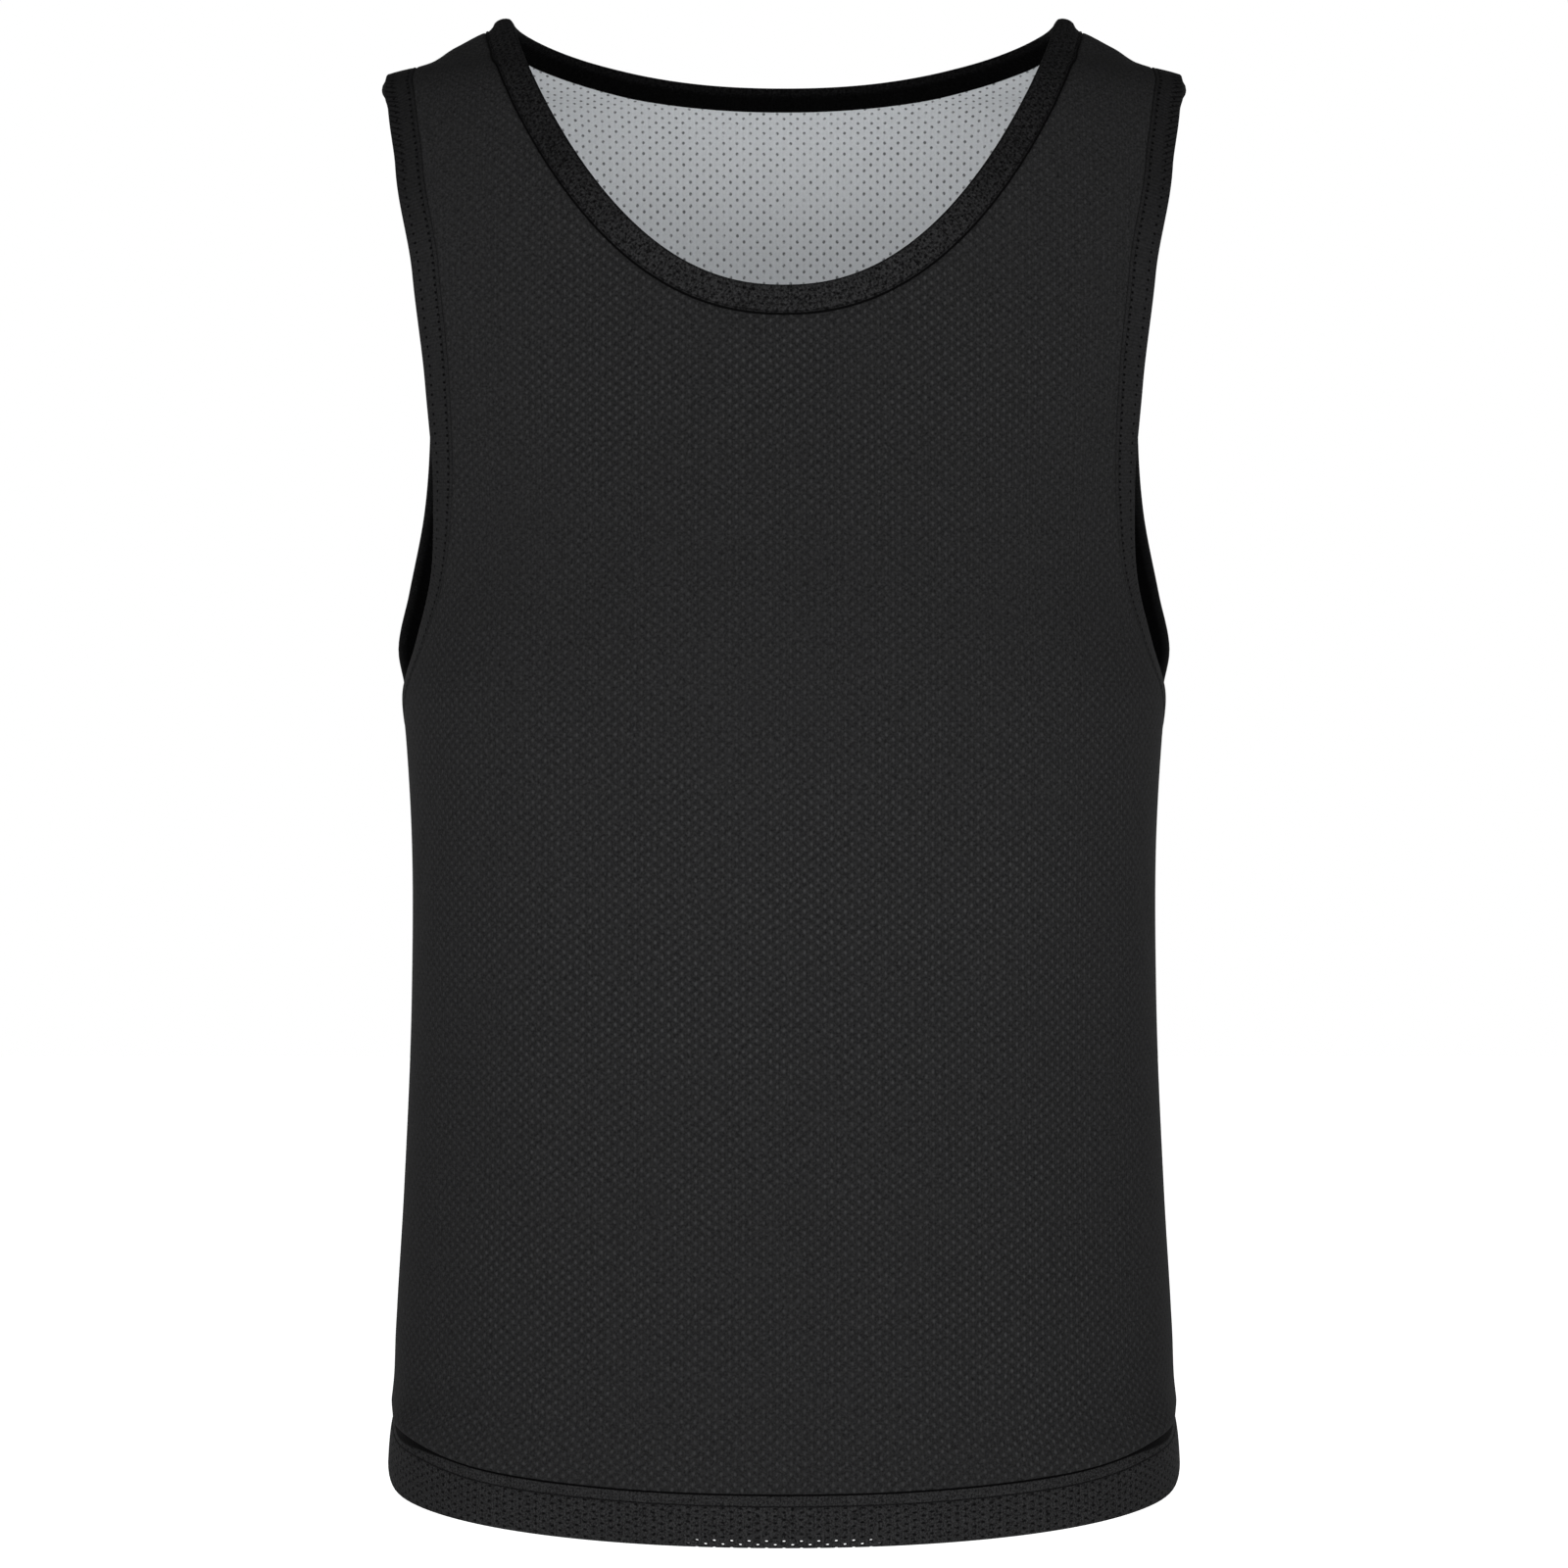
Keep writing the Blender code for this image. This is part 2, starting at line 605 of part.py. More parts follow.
def main():
    """Build the bib, piece by piece."""
    clear_scene()
    for face, place in ((FRONT, "front"), (BACK, "back")):
        make_panel(face, f"{place}_panel")
        make_lining(face, f"{place}_lining")
        make_hem(face, f"hem_band_{place}")
    make_band("neck_band", NECK_BAND_WIDTH, neck_stations)
    for side, place in ((RIGHT, "right"), (LEFT, "left")):
        name = f"armhole_band_{place}"
        make_band(name, ARM_BAND_WIDTH, lambda distance: arm_stations(distance, side))


main()
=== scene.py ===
"""Dresses a training bib: black perforated knit over a white lining, bound edges, doubled hem.

The front faces -Y, +X is to the right of someone who looks at the front, +Z is up, and the origin
lies between the shoulders. Sizes are in metres, and every cloth piece lies on one surface, the
filled-out garment, whose own angle runs from 0 at the +X side seam to pi at the -X one.
"""

import logging
import math
from dataclasses import dataclass, field
from enum import Enum, IntEnum
from functools import partial
from typing import Callable, Sequence

import bmesh
import bpy
import numpy as np
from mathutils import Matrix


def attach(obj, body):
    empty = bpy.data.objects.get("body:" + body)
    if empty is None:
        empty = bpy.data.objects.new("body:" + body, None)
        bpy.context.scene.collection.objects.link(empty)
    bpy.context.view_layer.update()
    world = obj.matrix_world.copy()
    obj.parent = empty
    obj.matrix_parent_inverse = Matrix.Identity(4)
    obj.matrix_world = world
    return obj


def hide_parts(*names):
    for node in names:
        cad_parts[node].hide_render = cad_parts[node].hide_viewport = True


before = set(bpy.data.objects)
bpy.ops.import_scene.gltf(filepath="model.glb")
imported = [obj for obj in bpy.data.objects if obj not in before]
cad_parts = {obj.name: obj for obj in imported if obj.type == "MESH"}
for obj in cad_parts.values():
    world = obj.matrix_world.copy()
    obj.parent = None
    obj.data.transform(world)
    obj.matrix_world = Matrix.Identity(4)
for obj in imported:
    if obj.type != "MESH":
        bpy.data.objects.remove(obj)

log = logging.getLogger("training_bib")
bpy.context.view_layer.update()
CLOTH_UV = "cloth"
CLEARNESS = "clearness"
BODY = "root"
HALVINGS = 40
SHARP_FROM = math.radians(60)

Array = np.ndarray
Material = bpy.types.Material
Object = bpy.types.Object
Stations = list[tuple["Face", Array, Array]]


class Face(IntEnum):
    """The two halves of the garment, by the sign of their Y."""

    FRONT = -1
    BACK = 1

    def pick(self, pair: Sequence) -> float:
        """Its own one of a front and a back value."""
        return pair[self == Face.BACK]


class Hand(IntEnum):
    """The two sides of the garment, by the sign of their X."""

    RIGHT = 1
    LEFT = -1


class Slot(Enum):
    """The record's material slots."""

    MESH_BLACK = "mesh_black"
    MESH_WHITE = "mesh_white"
    BINDING = "binding_black"
    HEM = "hem_black"


# --------------------------------------------------------------------------- form of the garment


@dataclass(frozen=True)
class Section:
    """A level section: height, half widths, how far it comes forward and back, and fullness."""

    place: str
    z: float
    front_half: float
    back_half: float
    front_deep: float
    back_deep: float
    front_full: float = 0.14
    back_full: float = 0.14


@dataclass(frozen=True)
class Fold:
    """A soft trough (depth under 0) or ridge of worn cloth, by its middle, reach and lean."""

    face: Face
    angle: float
    z: float
    half_length: float
    half_width: float
    lean: float
    depth: float


SECTIONS = (
    Section("hem edge", -0.682, 0.1846, 0.1846, 0.1215, 0.1110),
    Section("hem band", -0.660, 0.1848, 0.1848, 0.1213, 0.1108),
    Section("top of the hem band", -0.642, 0.1834, 0.1834, 0.1209, 0.1100),
    Section("fold over the hem", -0.631, 0.1814, 0.1814, 0.1207, 0.1096),
    Section("hip", -0.597, 0.1803, 0.1803, 0.1195, 0.1065),
    Section("below the waist", -0.532, 0.1766, 0.1766, 0.1165, 0.0990),
    Section("waist", -0.440, 0.1729, 0.1729, 0.1185, 0.0925),
    Section("ribs", -0.360, 0.1731, 0.1731, 0.1255, 0.0985),
    Section("below the armpit", -0.318, 0.1757, 0.1757, 0.1270, 0.1045),
    Section("armpit", -0.3015, 0.1772, 0.1782, 0.1270, 0.1068, 0.13),
    Section("armhole foot", -0.277, 0.1729, 0.1905, 0.1257, 0.1100, 0.12),
    Section("armhole low", -0.250, 0.1707, 0.1928, 0.1218, 0.1135, 0.10),
    Section("armhole lower half", -0.210, 0.1783, 0.1925, 0.1150, 0.1170, 0.07),
    Section("armhole middle", -0.160, 0.1957, 0.1930, 0.1060, 0.1190, 0.04),
    Section("armhole upper half", -0.110, 0.2135, 0.1943, 0.0975, 0.1155, 0.00),
    Section("armhole high", -0.060, 0.2222, 0.1938, 0.0885, 0.1075, -0.05),
    Section("below the tip", -0.032, 0.2143, 0.1896, 0.0800, 0.0975, -0.08),
    Section("side of the tip", -0.0215, 0.2066, 0.1888, 0.0748, 0.0893, -0.09),
    Section("shoulder tip", -0.0118, 0.1868, 0.1868, 0.0694, 0.0788, -0.10),
    Section("shoulder seam end", -0.0075, 0.1706, 0.1706, 0.0670, 0.0735, -0.10),
    Section("mid shoulder", 0.0018, 0.1537, 0.1537, 0.0600, 0.0620, -0.10),
    Section("neck seam", 0.0107, 0.1350, 0.1350, 0.0500, 0.0470, -0.10),
    Section("neck edge", 0.0134, 0.1262, 0.1262, 0.0440, 0.0390, -0.10),
)

# The broad folds first, which the solids have too, and then the slight ones
FOLDS = (
    Fold(Face.FRONT, 90, -0.420, 0.120, 0.020, 0.00, -0.0022),
    Fold(Face.FRONT, 118, -0.330, 0.110, 0.024, 0.10, -0.0026),
    Fold(Face.FRONT, 63, -0.340, 0.120, 0.023, -0.12, -0.0024),
    Fold(Face.FRONT, 138, -0.480, 0.130, 0.026, -0.08, -0.0020),
    Fold(Face.FRONT, 44, -0.500, 0.110, 0.028, 0.06, -0.0022),
    Fold(Face.FRONT, 76, -0.560, 0.090, 0.022, 0.00, 0.0018),
    Fold(Face.FRONT, 106, -0.575, 0.080, 0.020, 0.00, 0.0016),
    Fold(Face.BACK, 90, -0.340, 0.170, 0.030, 0.00, -0.0034),
    Fold(Face.BACK, 66, -0.420, 0.130, 0.022, 0.10, -0.0028),
    Fold(Face.BACK, 117, -0.400, 0.150, 0.024, -0.08, -0.0032),
    Fold(Face.BACK, 142, -0.500, 0.120, 0.026, 0.06, -0.0024),
    Fold(Face.BACK, 40, -0.520, 0.110, 0.025, -0.06, -0.0022),
    Fold(Face.FRONT, 24, -0.372, 0.040, 0.007, 0.42, -0.0007),
    Fold(Face.FRONT, 156, -0.366, 0.036, 0.006, -0.46, -0.0006),
    Fold(Face.FRONT, 30, -0.600, 0.026, 0.008, 0.10, -0.0006),
    Fold(Face.FRONT, 149, -0.603, 0.024, 0.008, -0.14, -0.0006),
    Fold(Face.BACK, 22, -0.368, 0.044, 0.007, 0.40, -0.0008),
    Fold(Face.BACK, 157, -0.372, 0.040, 0.007, -0.38, -0.0007),
    Fold(Face.BACK, 104, -0.560, 0.060, 0.012, 0.08, 0.0009),
    Fold(Face.BACK, 70, -0.590, 0.044, 0.011, -0.06, 0.0008),
    Fold(Face.BACK, 33, -0.604, 0.026, 0.009, 0.10, -0.0007),
)


@dataclass(frozen=True)
class Patch:
    """A soft patch where the lining shows more (or less) through the outer knit's holes, which also
    paints broad light and shade on the knit.
    """

    face: Face
    angle: float
    z: float
    half_angle: float
    half_height: float
    more: float


def both_sides(angle: float, *sizes: float, face: Face = Face.FRONT) -> tuple[Patch, Patch]:
    """The same patch on both sides of the middle."""
    return Patch(face, angle, *sizes), Patch(face, 180 - angle, *sizes)


# Broad patches of the lining's show-through, which also paint light and shade: lighter in the middle,
# darker at the sides and over the straps
PATCHES = (
    Patch(Face.FRONT, 90, -0.420, 30, 0.070, 0.22),
    Patch(Face.FRONT, 90, -0.640, 16, 0.060, -0.06),
    *both_sides(58, -0.580, 16, 0.090, 0.16),
    *both_sides(62, -0.150, 16, 0.070, 0.20),
    Patch(Face.FRONT, 90, -0.165, 14, 0.035, 0.16),
    Patch(Face.FRONT, 90, -0.275, 22, 0.060, -0.16),
    *both_sides(52, -0.250, 14, 0.060, -0.22),
    *both_sides(14, -0.470, 20, 0.340, -0.44),
    *both_sides(34, -0.080, 24, 0.130, -0.50),
    Patch(Face.BACK, 90, -0.300, 30, 0.090, 0.18),
    Patch(Face.BACK, 80, -0.620, 50, 0.070, 0.22),
    Patch(Face.BACK, 60, -0.480, 16, 0.080, -0.18),
    Patch(Face.BACK, 124, -0.440, 16, 0.070, -0.20),
    *both_sides(30, -0.100, 26, 0.100, -0.20, face=Face.BACK),
)


@dataclass(frozen=True)
class GarmentForm:
    """The filled-out garment's one surface, which every layer of cloth follows."""

    fold_radius: float = 0.15
    step: float = 1e-4
    plain_clearness: float = 0.60
    least_clearness: float = 0.05

    def read(self, face: Face, column: str, z: Array) -> Array:
        """Reads one column of the section table on a smooth curve through its rows.

        Args:
            face: Front or back.
            column: half, deep or full.
            z: Heights.

        Returns:
            The column's values at those heights.
        """
        heights = np.array([section.z for section in SECTIONS])
        values = np.array([getattr(section, f"{face.name.lower()}_{column}") for section in SECTIONS])
        steps = np.diff(heights)
        rises = np.diff(values) / steps
        slopes = np.empty_like(values)
        slopes[0], slopes[-1] = rises[0], rises[-1]
        slopes[1:-1] = (rises[:-1] * steps[1:] + rises[1:] * steps[:-1]) / (steps[:-1] + steps[1:])
        row = np.clip(np.searchsorted(heights, z) - 1, 0, len(heights) - 2)
        step = steps[row]
        t = (z - heights[row]) / step
        below = values[row] * (1 + 2 * t) * (1 - t) ** 2 + slopes[row] * step * t * (1 - t) ** 2
        above = values[row + 1] * t**2 * (3 - 2 * t) + slopes[row + 1] * step * t**2 * (t - 1)
        return below + above

    def across(self, face: Face, angle: Array, z: Array) -> Array:
        """X of the plain surface."""
        corner = 1 + self.read(face, "full", z) * np.sin(angle) ** 2
        return self.read(face, "half", z) * np.cos(angle) * corner

    def forward(self, face: Face, angle: Array, z: Array) -> Array:
        """Distance of the plain surface from the side seams' plane."""
        corner = 1 + self.read(face, "full", z) * np.cos(angle) ** 2
        return self.read(face, "deep", z) * np.sin(angle) * corner

    def surface(self, face: Face, angle: Array, z: Array) -> Array:
        """Points of the plain surface, without folds."""
        x, y = self.across(face, angle, z), face * self.forward(face, angle, z)
        return np.stack([x, y, z + 0 * x], axis=-1)

    def slopes(self, face: Face, angle: Array, z: Array) -> tuple[Array, Array]:
        """How a surface point moves with the angle and with the height."""
        step = self.step
        turn = self.surface(face, angle + step, z) - self.surface(face, angle - step, z)
        rise = self.surface(face, angle, z + step) - self.surface(face, angle, z - step)
        return turn / (2 * step), rise / (2 * step)

    def outward(self, face: Face, angle: Array, z: Array) -> Array:
        """Unit normals that point away from the wearer."""
        normal = face * np.cross(*self.slopes(face, angle, z))
        return normal / np.linalg.norm(normal, axis=-1, keepdims=True)

    def relief(self, face: Face, angle: Array, z: Array) -> Array:
        """How far the folds lift the cloth."""
        lift = np.zeros(np.broadcast(angle, z).shape)
        for fold in FOLDS:
            if fold.face != face:
                continue
            along = z - fold.z
            across = (angle - math.radians(fold.angle)) * self.fold_radius - fold.lean * along
            length = np.exp(-((along / fold.half_length) ** 4))
            lift += fold.depth * length * np.exp(-((across / fold.half_width) ** 2))
        return lift

    def clearness(self, face: Face, angle: Array, z: Array) -> Array:
        """How clearly the lining shows through the outer knit's holes, about 0 to 1, with the patches'
        painted light and shade.
        """
        clear = np.full(np.broadcast(angle, z).shape, self.plain_clearness)
        for patch in PATCHES:
            if patch.face == face:
                across = (np.degrees(angle) - patch.angle) / patch.half_angle
                along = (z - patch.z) / patch.half_height
                clear += patch.more * np.exp(-(across**2) - along**2)
        return np.maximum(clear, self.least_clearness)

    def cloth(self, face: Face, angle: Array, z: Array, out: Array) -> Array:
        """Points of the cloth, folds included, at distances out from the surface."""
        lift = self.relief(face, angle, z) + out
        return self.surface(face, angle, z) + self.outward(face, angle, z) * lift[..., None]


def path_lengths(points: Array) -> Array:
    """Lengths along a path, from its first point."""
    return np.concatenate([[0], np.cumsum(np.linalg.norm(np.diff(points, axis=0), axis=1))])


def solve_angle(shape: Callable[[Array], Array], target: Array) -> Array:
    """Finds where a shape that rises from 0 to a right angle reaches its target.

    Args:
        shape: Values at angles.
        target: The values wanted.

    Returns:
        The angles, by halving.
    """
    low = np.zeros_like(target)
    high = np.full_like(target, math.pi / 2)
    for _ in range(HALVINGS):
        middle = 0.5 * (low + high)
        under = shape(middle) < target
        low = np.where(under, middle, low)
        high = np.where(under, high, middle)
    return 0.5 * (low + high)


@dataclass(frozen=True)
class OpenEdge:
    """A bound edge of an opening, its +X half, with lines at any distance from it.

    Each kind of edge adds at, its angles and heights, and ends, its directions at both ends.
    """

    form: GarmentForm
    width: float
    walk_steps: int = 6
    fine: int = 801
    share_step: float = 1e-3

    def away(self, face: Face, share: Array) -> Array:
        """Directions on the cloth, square to the edge and away from the opening."""
        step = self.share_step
        ahead = self.form.surface(face, *self.at(face, np.minimum(share + step, 1)))
        along = ahead - self.form.surface(face, *self.at(face, np.maximum(share - step, 0)))
        along[share < step], along[share > 1 - step] = self.ends(face)
        return face * np.cross(along, self.form.outward(face, *self.at(face, share)))

    def beside(self, face: Face, share: Array, distance: float) -> tuple[Array, Array]:
        """Walks over the cloth from the edge.

        Args:
            face: Front or back.
            share: Places along the edge, from 0 to 1.
            distance: How far to walk.

        Returns:
            Angles and heights.
        """
        angle, z = self.at(face, share)
        away = self.away(face, share)
        for _ in range(self.walk_steps):
            turn, rise = self.form.slopes(face, angle, z)
            tt, tr, rr = (turn * turn).sum(-1), (turn * rise).sum(-1), (rise * rise).sum(-1)
            ta, ra = (turn * away).sum(-1), (rise * away).sum(-1)
            spread = tt * rr - tr * tr
            more_angle, more_z = (rr * ta - tr * ra) / spread, (tt * ra - tr * ta) / spread
            moved = turn * more_angle[..., None] + rise * more_z[..., None]
            scale = distance / self.walk_steps / np.linalg.norm(moved, axis=-1)
            angle, z = angle + more_angle * scale, z + more_z * scale
        return angle, z

    def even_shares(self, face: Face, count: int) -> Array:
        """Shares that part the seam beside the edge into equal lengths."""
        fine = np.linspace(0, 1, self.fine)
        points = self.form.surface(face, *self.beside(face, fine, self.width))
        length = path_lengths(points)
        return np.interp(np.linspace(0, length[-1], count + 1), length, fine)


@dataclass(frozen=True)
class NeckEdge(OpenEdge):
    """The neck's edge: share 0 at the shoulder seam, 1 at the middle."""

    top: float = 0.0134
    low: tuple[float, float] = (-0.1192, -0.0044)
    hang: tuple[float, float] = (1.74, 2.0)
    squareness: float = 0.9

    def at(self, face: Face, share: Array) -> tuple[Array, Array]:
        """Angle and height along the neck."""
        low, hang = face.pick(self.low), face.pick(self.hang)
        turn = share * math.pi / 2
        z = self.top - (self.top - low) * np.sin(turn) ** hang
        x = self.form.read(face, "half", np.array(self.top)) * np.cos(turn) ** self.squareness
        return solve_angle(lambda angle: -self.form.across(face, angle, z), -x), z

    def ends(self, face: Face) -> tuple[tuple[float, ...], tuple[float, ...]]:
        """Forward at the shoulder, level at the middle."""
        return (0, face, 0), (-1, 0, 0)


@dataclass(frozen=True)
class ArmEdge(OpenEdge):
    """An armhole's edge, an oval from the side: share 0 at the armpit, 1 at the shoulder."""

    top: float = -0.0118
    low: float = -0.3015
    deep: tuple[float, float] = (0.0620, 0.0680)
    squareness: float = 0.75

    def at(self, face: Face, share: Array) -> tuple[Array, Array]:
        """Angle and height along the armhole."""
        turn = (share - 0.5) * math.pi
        z = 0.5 * (self.top + self.low) + 0.5 * (self.top - self.low) * np.sin(turn)
        square = np.where((turn > 0) & (face == Face.FRONT), self.squareness, 1.0)
        y = face.pick(self.deep) * np.abs(np.cos(turn)) ** square
        return solve_angle(lambda angle: self.form.forward(face, angle, z), y), z

    def ends(self, face: Face) -> tuple[tuple[float, ...], tuple[float, ...]]:
        """Away from the seam at the armpit, back to it at the shoulder."""
        return (0, face, 0), (0, -face, 0)


@dataclass(frozen=True)
class PouchStep:
    """A step of the pouch's section: height over its lowest line, and how far it stands out."""

    rise: float
    base: float
    share: float


@dataclass(frozen=True)
class SeamLift:
    """How a line lifts at the side seams: height, reach (a sine), how square it falls away."""

    height: float
    reach: float
    power: int

    def at(self, angle: Array) -> Array:
        """The lift at angles."""
        return self.height * np.exp(-((np.sin(angle) / self.reach) ** self.power))


@dataclass(frozen=True)
class RoundLine:
    """A line round the garment: heights at the middles, rises to the side seams, and lifts."""

    middle: tuple[float, float]
    side_rise: tuple[float, float]
    lifts: tuple[SeamLift, ...]

    def at(self, face: Face, angle: Array) -> Array:
        """Its heights at angles."""
        lifted = sum(lift.at(angle) for lift in self.lifts)
        return face.pick(self.middle) + face.pick(self.side_rise) * np.cos(angle) ** 2 + lifted


@dataclass(frozen=True)
class Pouch:
    """The body's cloth where it pouches over the hem band: its lowest line and the lower edge."""

    fold: RoundLine = RoundLine(
        (-0.6545, -0.6515), (0.0150, 0.0120), (SeamLift(0.0050, 0.24, 4), SeamLift(0.0052, 0.62, 6))
    )
    hem: RoundLine = RoundLine((-0.6792, -0.6762), (0.0122, 0.0092), (SeamLift(0.0100, 0.20, 2),))
    start: SeamLift = SeamLift(1.0, 0.36, 4)
    least: float = 0.0004
    more: float = 0.0040
    fullest: float = math.radians(28)
    spread: float = math.radians(20)
    middle_more: float = 0.0010
    tuck: float = 0.0060
    steps: tuple[PouchStep, ...] = (
        PouchStep(0.0420, 0.00075, 0.00),
        PouchStep(0.0260, 0.00085, 0.26),
        PouchStep(0.0140, 0.00110, 0.66),
        PouchStep(0.0060, 0.00140, 0.95),
        PouchStep(0.0014, 0.00155, 1.00),
        PouchStep(0.0000, 0.00155, 0.62),
        PouchStep(0.0012, 0.00155, 0.16),
        PouchStep(0.0036, 0.00155, 0.00),
    )

    def reach(self, angle: Array) -> Array:
        """How far the pouch stands out over the band."""
        beside = np.minimum(angle, math.pi - angle)
        full = self.more * np.exp(-(((beside - self.fullest) / self.spread) ** 2))
        return self.least + (1 - self.start.at(angle)) * (self.middle_more + full)

    def section(self, between: int) -> Array:
        """The steps' rise, base and share on a smooth curve, with more steps between them."""
        rows = np.array([(step.rise, step.base, step.share) for step in self.steps])
        padded = np.concatenate([2 * rows[:1] - rows[1:2], rows, 2 * rows[-1:] - rows[-2:-1]])
        found = []
        for row in range(len(rows) - 1):
            before, here, there, after = padded[row:row + 4]
            for t in np.arange(between) / between:
                curve = 2 * here + (there - before) * t
                curve += (2 * before - 5 * here + 4 * there - after) * t**2
                curve += (3 * here - before - 3 * there + after) * t**3
                found.append(0.5 * curve)
        return np.array([*found, rows[-1]])


class ClothLengths:
    """Lengths over the surface of one face: sideways from the middle, upwards from below the hem."""

    columns: int = 241
    rows: int = 361
    low: float = -0.69
    high: float = 0.0165
    # Keeps every reading inside the last cell
    last: float = 1.000001

    def __init__(self, form: GarmentForm, face: Face) -> None:
        """Measures a fine grid of the surface.

        Args:
            form: The garment's surface.
            face: Front or back.
        """
        self.angles = np.linspace(0, math.pi, self.columns)
        self.heights = np.linspace(self.low, self.high, self.rows)
        grid = form.surface(face, self.angles[:, None], self.heights[None, :])
        across = np.linalg.norm(np.diff(grid, axis=0), axis=-1).cumsum(0)
        across = np.concatenate([np.zeros((1, len(self.heights))), across])
        up = np.linalg.norm(np.diff(grid, axis=1), axis=-1).cumsum(1)
        up = np.concatenate([np.zeros((len(self.angles), 1)), up], axis=1)
        self.across = across[len(self.angles) // 2] - across
        self.up = up

    def at(self, angle: Array, z: Array) -> Array:
        """Lengths sideways and upwards at angles and heights, as pairs."""
        column = np.clip(angle / self.angles[1], 0, self.columns - self.last)
        step = self.heights[1] - self.heights[0]
        row = np.clip((z - self.heights[0]) / step, 0, self.rows - self.last)
        i, j = column.astype(int), row.astype(int)
        s, t = column - i, row - j
        found = []
        for table in (self.across, self.up):
            low = table[i, j] * (1 - s) + table[i + 1, j] * s
            high = table[i, j + 1] * (1 - s) + table[i + 1, j + 1] * s
            found.append(low * (1 - t) + high * t)
        return np.stack(found, axis=-1)


# --------------------------------------------------------------------------- nets and meshes


def grid_cells(numbers: Array, ring: bool = False) -> Array:
    """Four-sided cells of a grid of vertex numbers, closed round its columns for a ring."""
    right = np.roll(numbers, -1, axis=1)
    if not ring:
        numbers, right = numbers[:, :-1], right[:, :-1]
    return np.stack([numbers[:-1], right[:-1], right[1:], numbers[1:]], axis=-1).reshape(-1, 4)


def open_edges(cells: Array) -> list[tuple[int, int]]:
    """Edges that only one cell uses, each in that cell's own direction."""
    ways = np.stack([cells, np.roll(cells, -1, axis=1)], axis=-1).reshape(-1, 2)
    ordered = np.sort(ways, axis=1)
    _, where, uses = np.unique(ordered, axis=0, return_inverse=True, return_counts=True)
    return [tuple(way) for way in ways[uses[where.ravel()] == 1]]


def make_mesh(
    name: str,
    points: Array,
    faces: Sequence[Sequence[int]],
    uvs: Array,
    material: Material,
) -> Object:
    """Makes an object of one closed mesh, its faces outwards.

    Args:
        name: The object's name.
        points: Vertices.
        faces: Vertex numbers of each face.
        uvs: A pair for each corner, face after face, in metres over the cloth.
        material: Its finish.

    Returns:
        The new object, in the scene.
    """
    mesh = bpy.data.meshes.new(name)
    mesh.from_pydata(points.tolist(), [], [tuple(map(int, face)) for face in faces])
    layer = mesh.uv_layers.new(name=CLOTH_UV)
    layer.data.foreach_set("uv", np.asarray(uvs, np.float32).ravel())
    form = bmesh.new()
    form.from_mesh(mesh)
    bmesh.ops.recalc_face_normals(form, faces=form.faces)
    if form.calc_volume(signed=True) < 0:
        bmesh.ops.reverse_faces(form, faces=form.faces)
    form.to_mesh(mesh)
    form.free()
    mesh.shade_smooth()
    mesh.set_sharp_from_angle(angle=SHARP_FROM)
    mesh.materials.append(material)
    piece = bpy.data.objects.new(name, mesh)
    bpy.context.scene.collection.objects.link(piece)
    return piece


